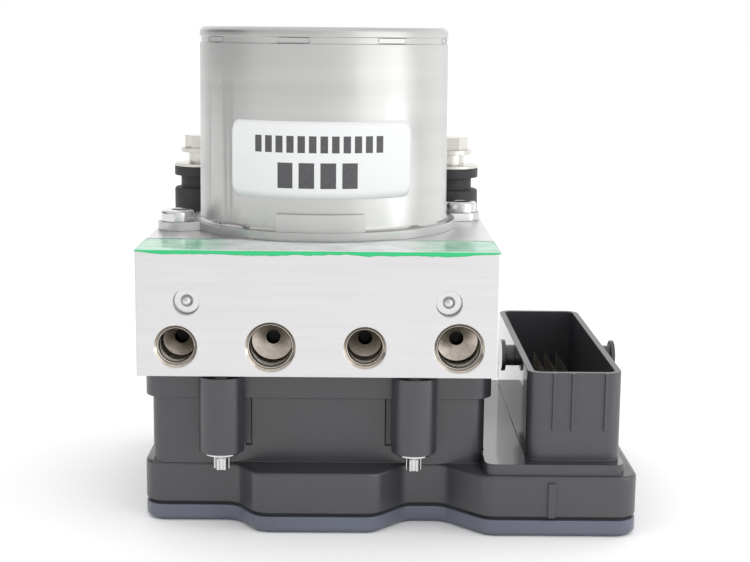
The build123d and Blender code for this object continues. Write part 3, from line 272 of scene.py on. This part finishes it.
def label_paper(name, paper, ink):
    """White label stock with two rows of plain printed blocks, on a UV map in metres."""
    look = Finish(name)
    place = look.add("UVMap", {}, uv_map="paper").outputs["UV"]
    parts = look.add("SeparateXYZ", {"Vector": place})
    across = parts.outputs["X"]
    up = parts.outputs["Y"]

    def row(low, high, half_length, pitch, share):
        inside = look.sum(look.sum(up, low, "GREATER_THAN"), look.sum(up, high, "LESS_THAN"), "MULTIPLY")
        reach = look.sum(look.sum(across, 0.0, "ABSOLUTE"), half_length, "LESS_THAN")
        step = look.sum(look.sum(across, pitch, "DIVIDE"), 1.0, "FLOORED_MODULO")
        block = look.sum(step, share, "LESS_THAN")
        return look.sum(look.sum(inside, reach, "MULTIPLY"), block, "MULTIPLY")

    thin = row(low=12.6 * MM, high=17.2 * MM, half_length=18.9 * MM, pitch=3.15 * MM, share=0.66)
    bold = row(low=2.9 * MM, high=9.9 * MM, half_length=12.0 * MM, pitch=6.0 * MM, share=0.72)
    printed = look.sum(thin, bold, "MAXIMUM")
    fibre = look.grain(1800.0, 3.0)
    worn = look.sum(printed, look.span(fibre, 0.96, 1.0), "MULTIPLY")
    return look.finish({
        "Base Color": look.mix(worn, opaque(paper), opaque(ink)),
        "Roughness": 0.42,
        "Normal": look.relief(fibre, 0.006 * MM),
    })


def tinted_film(name, colour, opacity):
    """See-through protective film: a pale green top whitened by a painted glare, saturated at its folded lip.
    """
    look = Finish(name)
    clouds = look.grain(120.0, 3.0)
    ripples = look.grain(90.0, 2.0, (1.0, 2.5, 1.0))
    place = look.add("SeparateXYZ", {"Vector": look.place}).outputs
    lip_depth = 0.7 * MM
    pale_end = 22 * MM
    green_start = 34 * MM
    lip = look.span(place["Y"], 1.0, 0.0, block_low.y, block_low.y + lip_depth)
    # Painted glare: the top is mixed towards white, most within 22 mm of the middle and least beyond 34 mm,
    # with cloudy noise
    pale = look.span(look.sum(place["X"], 0.0, "ABSOLUTE"), 0.9, 0.1, pale_end, green_start)
    green = (0.44 + 0.4 * colour[0], 0.44 + 0.6 * colour[1], 0.44 + 0.75 * colour[2], 1.0)
    painted_glare = look.span(look.sum(look.grain(60.0, 3.0), pale), 0.0, 1.0, 0.7, 1.25)
    top = look.mix(painted_glare, green, (0.88, 0.92, 0.9, 1.0))
    clear = look.span(clouds, opacity * 0.8, opacity * 1.2)
    return look.finish({
        "Base Color": look.mix(lip, top, shade(colour, 0.85)),
        "Roughness": 0.16,
        "Alpha": look.sum(clear, lip, "MAXIMUM"),
        "Normal": look.relief(ripples, 0.12 * MM),
    })


def coil_wire(name, colour, pitch):
    """Enamelled copper wire, wound in turns one above another."""
    look = Finish(name)
    bands_per_unit = 3.18
    scale = 1.0 / (pitch * bands_per_unit)
    turns = look.add("TexWave", {"Vector": look.place, "Scale": scale}, bands_direction="Z")
    return look.finish({
        "Base Color": look.mix(turns.outputs["Fac"], shade(colour, 0.75), opaque(colour)),
        "Metallic": 1.0,
        "Roughness": look.span(look.grain(400.0), 0.22, 0.36),
        "Normal": look.relief(turns.outputs["Fac"], 0.08 * MM),
    })


def board_laminate(name, colour):
    """Circuit board laminate with a solder mask and fine tracks."""
    look = Finish(name)
    tracks = look.add("TexBrick", {"Vector": look.place, "Scale": 260.0, "Mortar Size": 0.12})
    return look.finish({
        "Base Color": look.mix(tracks.outputs["Fac"], opaque(colour), shade(colour, 1.7)),
        "Roughness": look.span(look.grain(300.0), 0.28, 0.4),
        "Normal": look.relief(tracks.outputs["Fac"], 0.02 * MM),
    })


# Finishes, one for each material slot of the record
FINISHES = {
    "block_aluminium": lambda look: machined_metal("block_aluminium", look.aluminium, 0.36),
    "piston_aluminium": lambda look: machined_metal("piston_aluminium", (0.62, 0.63, 0.65), 0.3),
    "can_steel": lambda look: rolled_steel("can_steel", look.can, 0.33),
    "zinc_steel": lambda look: plated_steel("zinc_steel", look.zinc, 0.28),
    "bright_steel": lambda look: machined_metal("bright_steel", (0.68, 0.68, 0.69), 0.18, strength=0.5),
    "spring_steel": lambda look: plated_steel("spring_steel", (0.42, 0.42, 0.44), 0.25),
    "core_steel": lambda look: machined_metal("core_steel", (0.4, 0.4, 0.41), 0.4, (40.0, 40.0, 2000.0)),
    "ferrite": lambda look: moulded_plastic("ferrite", (0.06, 0.06, 0.065), 0.5, 0.02 * MM),
    "copper": lambda look: coil_wire("copper", (0.72, 0.33, 0.16), 0.5 * MM),
    "pin_metal": lambda look: plated_steel("pin_metal", (0.72, 0.68, 0.58), 0.22),
    "carbon": lambda look: moulded_plastic("carbon", (0.03, 0.03, 0.03), 0.6, 0.03 * MM),
    "inner_plastic": lambda look: moulded_plastic("inner_plastic", (0.05, 0.05, 0.055), 0.45, 0.015 * MM),
    "coil_plastic": lambda look: moulded_plastic("coil_plastic", (0.02, 0.021, 0.022), 0.42, 0.015 * MM),
    "housing_plastic": lambda look: outer_plastic("housing_plastic", look.housing, 0.33, 0.006 * MM),
    "cover_plastic": lambda look: outer_plastic("cover_plastic", look.lid, 0.3, 0.008 * MM),
    "board_green": lambda look: board_laminate("board_green", (0.02, 0.12, 0.05)),
    "chip_black": lambda look: moulded_plastic("chip_black", (0.025, 0.025, 0.027), 0.5, 0.02 * MM),
    "label_white": lambda look: label_paper("label_white", look.label, look.ink),
    "green_film": lambda look: tinted_film("green_film", look.film, look.film_opacity),
    "mount_rubber": lambda look: soft_rubber("mount_rubber", look.rubber),
    "seal_rubber": lambda look: soft_rubber("seal_rubber", (0.015, 0.015, 0.016)),
}
made_finishes = {}


def finish_of(slot):
    """Return the material of a slot, made when it is first asked for."""
    if slot not in made_finishes:
        made_finishes[slot] = FINISHES[slot](bpy.context.scene.brake_module_look)
    return made_finishes[slot]


def slot_of(node):
    """Return the record's material slot of a CAD node."""
    return slots[node]


def body_of(node):
    """Return the body that carries a CAD node."""
    return frame["nodes"][node]["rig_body"]


def paint_nodes(nodes):
    """Give CAD nodes that keep their own shape the finish of their slot."""
    for node in nodes:
        materials = frame["nodes"][node].data.materials
        materials.clear()
        materials.append(finish_of(slot_of(node)))


def new_piece(name, mesh, body, slot, replaced=()):
    """Link a finished mesh as a piece that rides on a body and takes its finish from a slot."""
    piece = bpy.data.objects.new(name, mesh)
    bpy.context.scene.collection.objects.link(piece)
    if not mesh.materials:
        mesh.materials.append(finish_of(slot))
    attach(piece, body)
    if replaced:
        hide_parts(*replaced)
    return piece


def applied(mesh, *modifiers):
    """Return a mesh with modifiers applied, given as pairs of a kind and its settings."""
    helper = bpy.data.objects.new("helper", mesh)
    bpy.context.scene.collection.objects.link(helper)
    for kind, settings in modifiers:
        modifier = helper.modifiers.new(kind, kind)
        for name, value in settings.items():
            setattr(modifier, name, value)
    graph = bpy.context.evaluated_depsgraph_get()
    result = bpy.data.meshes.new_from_object(helper.evaluated_get(graph))
    bpy.data.objects.remove(helper)
    return result


def merged_copy(node):
    """Return a CAD node's mesh with its doubles merged and its flat faces joined."""
    mesh = frame["nodes"][node].data.copy()
    if "custom_normal" in mesh.attributes:
        mesh.attributes.remove(mesh.attributes["custom_normal"])
    mesh.materials.clear()
    doubles = 0.001 * MM
    flatness = math.radians(0.3)
    work = bmesh.new()
    work.from_mesh(mesh)
    bmesh.ops.remove_doubles(work, verts=work.verts, dist=doubles)
    bmesh.ops.dissolve_degenerate(work, edges=work.edges, dist=doubles)
    bmesh.ops.dissolve_limit(work, angle_limit=flatness, verts=work.verts, edges=work.edges)
    for face in work.faces:
        face.smooth = True
    work.to_mesh(mesh)
    work.free()
    return mesh


def softened(node, width):
    """Return a CAD node's mesh with small rounds on its sharp edges, held to the CAD surface."""
    edges = {
        "width": width,
        "segments": 2,
        "limit_method": "ANGLE",
        "angle_limit": math.radians(32.0),
        "harden_normals": True,
        "use_clamp_overlap": False,
    }
    plain = merged_copy(node)
    surface = BVHTree.FromPolygons([v.co for v in plain.vertices], [p.vertices[:] for p in plain.polygons])
    mesh = applied(plain, ("BEVEL", edges))
    for vertex in mesh.vertices:
        nearest, _, _, distance = surface.find_nearest(vertex.co)
        if distance > width:
            vertex.co = nearest
    return mesh


def soften_node(node, width):
    """Replace a CAD node by a copy with rounded edges, and return the piece."""
    return new_piece(f"{node}_finished", softened(node, width), body_of(node), slot_of(node), (node,))


class BrakeModuleSizes(bpy.types.PropertyGroup):
    """Sizes of the fine forms."""

    metal_edge: FloatProperty(
        name="Metal edge", description="Rounding of the machined edges", default=0.15 * MM, unit="LENGTH"
    )
    plastic_edge: FloatProperty(
        name="Plastic edge", description="Rounding of the moulded edges", default=0.2 * MM, unit="LENGTH"
    )
    thread_pitch: FloatProperty(
        name="Thread pitch", description="Pitch of the pipe ports' threads", default=1.0 * MM, unit="LENGTH"
    )
    thread_depth: FloatProperty(
        name="Thread depth", description="Height of a thread's ridge", default=0.45 * MM, unit="LENGTH"
    )


class BrakeModuleLook(bpy.types.PropertyGroup):
    """Colours of the finishes."""

    aluminium: FloatVectorProperty(
        name="Aluminium", description="Machined block", default=(0.725, 0.715, 0.725), subtype="COLOR"
    )
    can: FloatVectorProperty(
        name="Motor can", description="Plated sheet steel", default=(0.575, 0.571, 0.564), subtype="COLOR"
    )
    zinc: FloatVectorProperty(
        name="Zinc", description="Plated screws and bolts", default=(0.66, 0.645, 0.6), subtype="COLOR"
    )
    housing: FloatVectorProperty(
        name="Housing", description="Control unit housing", default=(0.034, 0.034, 0.04), subtype="COLOR"
    )
    lid: FloatVectorProperty(
        name="Lid", description="Control unit lid", default=(0.09, 0.1, 0.14), subtype="COLOR"
    )
    rubber: FloatVectorProperty(
        name="Rubber", description="Rubber mounts", default=(0.025, 0.025, 0.028), subtype="COLOR"
    )
    label: FloatVectorProperty(
        name="Label", description="Label paper", default=(0.745, 0.75, 0.76), subtype="COLOR"
    )
    ink: FloatVectorProperty(
        name="Ink", description="Printed blocks", default=(0.06, 0.06, 0.065), subtype="COLOR"
    )
    film: FloatVectorProperty(
        name="Film", description="Protective film", default=(0.03, 0.6, 0.22), subtype="COLOR"
    )
    film_opacity: FloatProperty(
        name="Film opacity",
        description="How much of the block the film hides",
        default=0.75,
        subtype="FACTOR",
    )


class BrakeModuleStage(bpy.types.PropertyGroup):
    """Camera, floor and lights."""

    camera_place: FloatVectorProperty(
        name="Camera place",
        description="Where the camera stands",
        default=(0.0115, -0.4319, 0.1346),
        unit="LENGTH",
    )
    camera_pitch: FloatProperty(
        name="Pitch", description="Downward tilt", default=math.radians(9.83), unit="ROTATION"
    )
    camera_yaw: FloatProperty(
        name="Yaw", description="Turn to the left", default=math.radians(-0.53), unit="ROTATION"
    )
    camera_roll: FloatProperty(
        name="Roll", description="Turn about the view", default=math.radians(0.57), unit="ROTATION"
    )
    lens: FloatProperty(
        name="Lens", description="Focal length in millimetres on a 36 mm sensor", default=69.9
    )
    sky: FloatProperty(
        name="Sky", description="Strength of the light from all round", default=1.16
    )
    key: FloatProperty(
        name="Key", description="Power of the soft light on the right", default=0.55, unit="POWER"
    )


def port_bores():
    """Return the axis, mouth and radius of each pipe port: four in front and two on the top."""
    bores = []
    for name, mount in mounts.items():
        if name.startswith("wheel_port"):
            mouth = Vector((mount["pos_m"][0], block_low.y, mount["pos_m"][2]))
            bores.append((mouth, Vector((0.0, 1.0, 0.0)), mount["dims"]["r_mm"] * MM))
    for name, opening in openings.items():
        if name.startswith("top_port"):
            low, high = (Vector(corner) for corner in opening["box_m"])
            mouth = (low + high) / 2
            mouth.z = block_high.z
            bores.append((mouth, Vector((0.0, 0.0, -1.0)), TOP_PORT_RADIUS))
    return bores


def bore_share(point, bores):
    """Return the material index of a point on the block: 0 outside, 1 in a bore, 2 in its drilling; 1 and 2
    carry painted shade.
    """
    mouth_edge = 0.1 * MM
    drilling_start = 13 * MM
    deepest = 20 * MM
    countersink = 0.9 * MM
    for mouth, axis, radius in bores:
        depth = (point - mouth).dot(axis)
        reach = (point - mouth - axis * depth).length
        if mouth_edge < depth < deepest and reach < radius + countersink:
            return 2 if depth > drilling_start and reach < DRILLING_RADIUS else 1
    return 0


def thread_group():
    """Make the node group that winds a V-shaped ridge along a spiral."""
    group = bpy.data.node_groups.new("thread_ridge", "GeometryNodeTree")
    for name, default in (("Radius", 5 * MM), ("Pitch", 1 * MM), ("Length", 10 * MM), ("Depth", 0.45 * MM)):
        socket = group.interface.new_socket(name, in_out="INPUT", socket_type="NodeSocketFloat")
        socket.default_value = default
    group.interface.new_socket("Material", in_out="INPUT", socket_type="NodeSocketMaterial")
    group.interface.new_socket("Geometry", in_out="OUTPUT", socket_type="NodeSocketGeometry")
    nodes = group.nodes
    links = group.links
    given = nodes.new("NodeGroupInput").outputs

    def value(operation, first, second):
        node = nodes.new("ShaderNodeMath")
        node.operation = operation
        for socket, source in zip(node.inputs, (first, second)):
            if isinstance(source, bpy.types.NodeSocket):
                links.new(source, socket)
            else:
                socket.default_value = source
        return node.outputs["Value"]

    spiral = nodes.new("GeometryNodeCurveSpiral")
    spiral.inputs["Resolution"].default_value = 40
    links.new(value("DIVIDE", given["Length"], given["Pitch"]), spiral.inputs["Rotations"])
    links.new(given["Radius"], spiral.inputs["Start Radius"])
    links.new(given["Radius"], spiral.inputs["End Radius"])
    links.new(given["Length"], spiral.inputs["Height"])
    profile = nodes.new("GeometryNodeCurvePrimitiveCircle")
    profile.inputs["Resolution"].default_value = 4
    links.new(given["Depth"], profile.inputs["Radius"])
    mesh = nodes.new("GeometryNodeCurveToMesh")
    links.new(spiral.outputs["Curve"], mesh.inputs["Curve"])
    links.new(profile.outputs["Curve"], mesh.inputs["Profile Curve"])
    mesh.inputs["Fill Caps"].default_value = True
    whole = nodes.new("GeometryNodeRealizeInstances")
    links.new(mesh.outputs["Mesh"], whole.inputs["Geometry"])
    dressed = nodes.new("GeometryNodeSetMaterial")
    links.new(whole.outputs["Geometry"], dressed.inputs["Geometry"])
    links.new(given["Material"], dressed.inputs["Material"])
    output = nodes.new("NodeGroupOutput")
    links.new(dressed.outputs["Geometry"], output.inputs["Geometry"])
    return group


def add_threads(sizes):
    """Add the pipe ports' threads, each a ridge on its bore, as one piece."""
    group = thread_group()
    sockets = {item.name: item.identifier for item in group.interface.items_tree if item.in_out == "INPUT"}
    # Painted shade: the threads take a darker metal than the block's aluminium, standing for shade inside the
    # bores
    material = bore_metal("thread_metal", (0.5, 0.48, 0.44))
    length = 9.5 * MM
    start = 1.3 * MM
    work = bmesh.new()
    for mouth, axis, radius in port_bores():
        helper = bpy.data.objects.new("helper", bpy.data.meshes.new("helper"))
        bpy.context.scene.collection.objects.link(helper)
        modifier = helper.modifiers.new("thread", "NODES")
        modifier.node_group = group
        modifier[sockets["Radius"]] = radius
        modifier[sockets["Pitch"]] = sizes.thread_pitch
        modifier[sockets["Length"]] = length
        modifier[sockets["Depth"]] = sizes.thread_depth
        modifier[sockets["Material"]] = material
        graph = bpy.context.evaluated_depsgraph_get()
        ridge = bpy.data.meshes.new_from_object(helper.evaluated_get(graph))
        bpy.data.objects.remove(helper)
        turn = Vector((0.0, 0.0, 1.0)).rotation_difference(axis).to_matrix().to_4x4()
        ridge.transform(Matrix.Translation(mouth + axis * start) @ turn)
        work.from_mesh(ridge)
    bmesh.ops.recalc_face_normals(work, faces=work.faces)
    mesh = bpy.data.meshes.new("port_threads")
    work.to_mesh(mesh)
    work.free()
    mesh.materials.append(material)
    new_piece("port_threads", mesh, body_of("hydraulic_block"), "block_aluminium")


class BRAKEMODULE_OT_valve_block(bpy.types.Operator):
    """Make the valve block and its ball plugs"""

    bl_idname = "brake_module.valve_block"
    bl_label = "Valve Block"

    def execute(self, context):
        sizes = context.scene.brake_module_sizes
        block = soften_node("hydraulic_block", sizes.metal_edge)
        # Painted shade: the bores take a darker, warmer metal than the block's aluminium, the darkness
        # standing for shade inside the bores
        block.data.materials.append(bore_metal("bore_metal", (0.55, 0.49, 0.43)))
        # Painted shade: the drillings' walls and ends take a near-black rubber finish, standing for the shade
        # in the deep passage
        block.data.materials.append(soft_rubber("drilling_painted_shade", (0.004, 0.003, 0.003)))
        bores = port_bores()
        for face in block.data.polygons:
            face.material_index = bore_share(face.center, bores)
        soften_node("ball_plugs", sizes.metal_edge)
        add_threads(sizes)
        return {"FINISHED"}


class BRAKEMODULE_OT_motor(bpy.types.Operator):
    """Make the motor's can and its screws"""

    bl_idname = "brake_module.motor"
    bl_label = "Motor"

    def execute(self, context):
        sizes = context.scene.brake_module_sizes
        soften_node("motor_housing", sizes.metal_edge)
        soften_node("motor_screws", sizes.metal_edge)
        return {"FINISHED"}


def label_sheet():
    """Return the label as a curved sheet with rounded corners, a UV map in metres and a real edge."""
    columns = 72
    rows = 10
    corner = 3.0 * MM
    can_draft = math.tan(math.radians(0.3))
    height = label_high.z - label_low.z
    reach = math.hypot(label_high.x, math.sqrt(max(0.0, label_low.y ** 2 - label_high.x ** 2)))
    half = math.asin(label_high.x / reach)
    work = bmesh.new()
    paper = work.loops.layers.uv.new("paper")
    places = {}
    for column in range(columns + 1):
        along = half * (2 * column / columns - 1)
        into_corner = max(0.0, abs(along) * reach - (half * reach - corner))
        cut = corner - math.sqrt(max(0.0, corner ** 2 - into_corner ** 2))
        for row in range(rows + 1):
            up = cut + (height - 2 * cut) * row / rows
            radius = reach - up * can_draft
            place = (radius * math.sin(along), -radius * math.cos(along), label_low.z + up)
            places[work.verts.new(place)] = (along * reach, up)
    verts = list(places)
    for column in range(columns):
        for row in range(rows):
            first = column * (rows + 1) + row
            corners = [verts[first], verts[first + rows + 1], verts[first + rows + 2], verts[first + 1]]
            face = work.faces.new(corners)
            face.smooth = True
            for loop in face.loops:
                loop[paper].uv = places[loop.vert]
    sheet = bpy.data.meshes.new("motor_label_finished")
    work.to_mesh(sheet)
    work.free()
    return applied(sheet, ("SOLIDIFY", {"thickness": LABEL_THICKNESS, "offset": -1.0}))


class BRAKEMODULE_OT_label(bpy.types.Operator):
    """Make the label on the can"""

    bl_idname = "brake_module.label"
    bl_label = "Label"

    def execute(self, context):
        mesh = label_sheet()
        new_piece("motor_label_finished", mesh, body_of("motor_label"), "label_white", ("motor_label",))
        return {"FINISHED"}


def film_sheet():
    """Return the film as one thin sheet: a torn rear edge, an opening for the motor, a kinked lip."""
    columns = 160
    steps = 8
    lip = film_high.z - film_low.z
    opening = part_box("motor_seal")[1].x + 1.8 * MM
    bend = 0.1 * MM
    sag = 0.12 * MM
    taper = 12.0 * MM
    fold = film_high.z - bend
    work = bmesh.new()
    rows = []
    for column in range(columns + 1):
        x = film_low.x + (film_high.x - film_low.x) * column / columns
        kink = noise.noise(Vector((x * 160, 0.3, 0.7)))
        small = noise.noise(Vector((x * 700, 2.3, 1.7)))
        rear = film_high.y + (0.5 * kink + 0.25 * small) * MM
        if abs(x) < opening:
            rear = min(rear, -math.sqrt(opening ** 2 - x ** 2))
        front = film_low.y - sag * abs(kink)
        from_end = min(x - film_low.x, film_high.x - x)
        low = fold - lip * (0.62 + 0.25 * kink + 0.12 * small) * min(1.0, 0.3 + from_end / taper)
        places = [(x, front, z) for z in (low, 0.5 * (low + fold), fold - bend)]
        places.append((x, front + 1.5 * bend, fold))
        for step in range(1, steps + 1):
            y = front + (rear - front) * step / steps
            wave = sag * abs(noise.noise(Vector((x * 90, y * 130, 4.0))))
            places.append((x, y, fold + wave))
        rows.append([work.verts.new(place) for place in places])
    for left, right in zip(rows, rows[1:]):
        for corners in zip(left, right, right[1:], left[1:]):
            work.faces.new(corners).smooth = True
    sheet = bpy.data.meshes.new("cover_film_finished")
    work.to_mesh(sheet)
    work.free()
    return applied(sheet, ("SOLIDIFY", {"thickness": FILM_THICKNESS, "offset": -1.0}))


class BRAKEMODULE_OT_film(bpy.types.Operator):
    """Make the protective film over the top ports"""

    bl_idname = "brake_module.film"
    bl_label = "Film"

    def execute(self, context):
        new_piece("cover_film_finished", film_sheet(), body_of("cover_film"), "green_film", ("cover_film",))
        return {"FINISHED"}


def spring_piece(node):
    """Replace a spring by a merged copy of its mesh in its slot's finish."""
    mesh = merged_copy(node)
    mesh.materials.append(finish_of(slot_of(node)))
    piece = bpy.data.objects.new(f"{node}_finished", mesh)
    bpy.context.scene.collection.objects.link(piece)
    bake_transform(piece)
    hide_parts(node)


class BRAKEMODULE_OT_springs(bpy.types.Operator):
    """Make the springs of the pump and the accumulators"""

    bl_idname = "brake_module.springs"
    bl_label = "Springs"

    def execute(self, context):
        for side, outward in (("left", -1.0), ("right", 1.0)):
            spring_piece(f"pump_spring_{side}")
            spring_piece(f"accumulator_spring_{side}")
        return {"FINISHED"}


class BRAKEMODULE_OT_rubber_mounts(bpy.types.Operator):
    """Make the rubber mounts with their sleeves and bolts"""

    bl_idname = "brake_module.rubber_mounts"
    bl_label = "Rubber Mounts"

    def execute(self, context):
        sizes = context.scene.brake_module_sizes
        for node in ("rubber_mounts", "mount_sleeves", "mount_bolts"):
            soften_node(node, sizes.metal_edge)
        return {"FINISHED"}


class BRAKEMODULE_OT_control_unit(bpy.types.Operator):
    """Make the control unit's housing, lid, seal and long screws"""

    bl_idname = "brake_module.control_unit"
    bl_label = "Control Unit"

    def execute(self, context):
        sizes = context.scene.brake_module_sizes
        housing = soften_node("unit_housing", sizes.plastic_edge)
        look = context.scene.brake_module_look
        smooth = moulded_plastic("plinth_plastic", look.housing, 0.08, 0.0, dust=0.3, specular=1.0)
        housing.data.materials.append(smooth)
        # The smooth faces: the plinth's top beside the box, and the walls of the gap beside the socket
        socket_low = Vector(openings["plug_socket_signal_side"]["box_m"][0])
        box_side = block_high.x - 4 * MM
        socket_side = socket_low.x - 1 * MM
        plinth_above = socket_low.z - 8 * MM
        straight = 0.99
        for face in housing.data.polygons:
            upward = face.normal.z > straight and face.center.z < plinth_above
            inward = abs(face.normal.x) > straight and face.center.x < socket_side
            face.material_index = int(box_side < face.center.x and (upward or inward))
        soften_node("unit_cover", sizes.plastic_edge)
        soften_node("long_screws", sizes.metal_edge)
        paint_nodes(("unit_seal",))
        return {"FINISHED"}


class BRAKEMODULE_OT_inner_pieces(bpy.types.Operator):
    """Finish the pieces inside the motor, the block and the control unit"""

    bl_idname = "brake_module.inner_pieces"
    bl_label = "Inner Pieces"

    def execute(self, context):
        paint_nodes(node for node, piece in frame["nodes"].items() if not piece.hide_render)
        return {"FINISHED"}


# Soft lights: name, place, width and height, share of the key light's power
SOFT_LIGHTS = (
    ("key", (0.44, -0.3, 0.2), (0.5, 0.62), 1.1),
    ("rim", (0.46, 0.3, 0.2), (0.4, 0.5), 0.25),
    ("low", (0.36, -0.13, 0.045), (0.06, 0.09), 0.1),
    ("back", (-0.02, 0.5, 0.24), (0.6, 0.15), 0.2),
)


class BRAKEMODULE_OT_stage(bpy.types.Operator):
    """Set up the camera, the floor and the soft lights"""

    bl_idname = "brake_module.stage"
    bl_label = "Stage"

    def execute(self, context):
        scene = context.scene
        stage = scene.brake_module_stage
        scene.view_settings.view_transform = "Standard"
        add_camera(scene, stage)
        add_floor(scene)
        add_sky(scene, stage)
        for name, place, size, share in SOFT_LIGHTS:
            add_soft_light(scene, name, place, size, stage.key * share)
        return {"FINISHED"}


def add_camera(scene, stage):
    """Add the camera at the photograph's place and angle."""
    data = bpy.data.cameras.new("camera")
    data.lens = stage.lens
    data.sensor_width = 36.0
    camera = bpy.data.objects.new("camera", data)
    scene.collection.objects.link(camera)
    tilt = Matrix.Rotation(math.pi / 2 - stage.camera_pitch, 4, "X")
    turn = Matrix.Rotation(stage.camera_yaw, 4, "Z")
    roll = Matrix.Rotation(stage.camera_roll, 4, "Z")
    camera.matrix_world = Matrix.Translation(stage.camera_place) @ turn @ tilt @ roll
    scene.camera = camera


def add_floor(scene):
    """Add a wide pale floor under the module."""
    half = 15.0
    mesh = bpy.data.meshes.new("floor")
    corners = [(-half, -half, 0.0), (half, -half, 0.0), (half, half, 0.0), (-half, half, 0.0)]
    mesh.from_pydata(corners, [], [(0, 1, 2, 3)])
    floor = bpy.data.objects.new("floor", mesh)
    scene.collection.objects.link(floor)
    look = Finish("floor_paper")
    tone = look.mix(look.grain(30.0), (0.97, 0.97, 0.97, 1.0), (0.99, 0.99, 0.99, 1.0))
    mesh.materials.append(look.finish({"Base Color": tone, "Roughness": 0.7, "Specular IOR Level": 0.0}))


def add_sky(scene, stage):
    """Add a plain pale sky, white behind the module and, but for two panels, in its reflections."""
    world = bpy.data.worlds.new("studio")
    scene.world = world
    world.use_nodes = True
    nodes = world.node_tree.nodes
    links = world.node_tree.links
    nodes.clear()

    def node(kind, inputs, **settings):
        made = nodes.new("ShaderNode" + kind)
        for name, value in settings.items():
            setattr(made, name, value)
        for name, value in inputs.items():
            if isinstance(value, bpy.types.NodeSocket):
                links.new(value, made.inputs[name])
            else:
                made.inputs[name].default_value = value
        return made

    def panel(towards, start, end, darkness):
        share = node("VectorMath", {0: around, 1: towards}, operation="DOT_PRODUCT").outputs["Value"]
        limits = {"Value": share, "From Min": start, "From Max": end, "To Min": 1.0, "To Max": darkness}
        return node("MapRange", limits, interpolation_type="SMOOTHSTEP").outputs["Result"]

    path = node("LightPath", {}).outputs
    around = node("TexCoord", {}).outputs["Generated"]
    # What polished pieces mirror: a dark card at the left, grey in front of it, white elsewhere
    card = panel(towards=(-0.97, 0.24, 0.0), start=0.74, end=0.95, darkness=0.22)
    grey = panel(towards=(-0.8, -0.6, 0.0), start=0.1, end=0.9, darkness=0.72)
    mirrored = node("Math", {0: card, 1: grey}, operation="MULTIPLY").outputs["Value"]
    lighting = {"Value": path["Is Diffuse Ray"], "To Min": 1.0, "To Max": stage.sky}
    plain = node("MapRange", lighting).outputs["Result"]
    strength = node("Mix", {0: path["Is Glossy Ray"], 2: plain, 3: mirrored}).outputs[0]
    background = node("Background", {"Color": (1.0, 1.0, 1.0, 1.0), "Strength": strength})
    node("OutputWorld", {"Surface": background.outputs["Background"]})


def add_soft_light(scene, name, place, size, power):
    """Add a large rectangular light that faces the middle of the module."""
    data = bpy.data.lights.new(name, "AREA")
    data.shape = "RECTANGLE"
    data.size, data.size_y = size
    data.energy = power
    light = bpy.data.objects.new(name, data)
    scene.collection.objects.link(light)
    middle = Vector((0.01, 0.0, 0.06))
    light.location = place
    light.rotation_euler = (middle - Vector(place)).to_track_quat("-Z", "Y").to_euler()


class BRAKEMODULE_PT_pieces(bpy.types.Panel):
    """Lists the module's pieces in the sidebar"""

    bl_idname = "BRAKEMODULE_PT_pieces"
    bl_label = "Brake Module"
    bl_space_type = "VIEW_3D"
    bl_region_type = "UI"
    bl_category = "Brake Module"

    def draw(self, context):
        for operator in OPERATORS:
            self.layout.operator(operator.bl_idname)
        for owner, group in GROUPS.items():
            for name in group.__annotations__:
                self.layout.prop(getattr(context.scene, owner), name)


OPERATORS = (
    BRAKEMODULE_OT_valve_block,
    BRAKEMODULE_OT_motor,
    BRAKEMODULE_OT_label,
    BRAKEMODULE_OT_film,
    BRAKEMODULE_OT_springs,
    BRAKEMODULE_OT_rubber_mounts,
    BRAKEMODULE_OT_control_unit,
    BRAKEMODULE_OT_inner_pieces,
    BRAKEMODULE_OT_stage,
)
GROUPS = {
    "brake_module_sizes": BrakeModuleSizes,
    "brake_module_look": BrakeModuleLook,
    "brake_module_stage": BrakeModuleStage,
}


def register():
    """Register the property groups, the operators and the panel."""
    for name, group in GROUPS.items():
        bpy.utils.register_class(group)
        setattr(bpy.types.Scene, name, PointerProperty(type=group))
    for operator in OPERATORS:
        bpy.utils.register_class(operator)
    bpy.utils.register_class(BRAKEMODULE_PT_pieces)


def unregister():
    """Take everything out again."""
    bpy.utils.unregister_class(BRAKEMODULE_PT_pieces)
    for operator in reversed(OPERATORS):
        bpy.utils.unregister_class(operator)
    for name, group in GROUPS.items():
        delattr(bpy.types.Scene, name)
        bpy.utils.unregister_class(group)


def main():
    """Make every piece and the stage."""
    register()
    bpy.ops.brake_module.valve_block()
    bpy.ops.brake_module.motor()
    bpy.ops.brake_module.label()
    bpy.ops.brake_module.film()
    bpy.ops.brake_module.springs()
    bpy.ops.brake_module.rubber_mounts()
    bpy.ops.brake_module.control_unit()
    bpy.ops.brake_module.inner_pieces()
    bpy.ops.brake_module.stage()


if __name__ == "__main__":
    main()
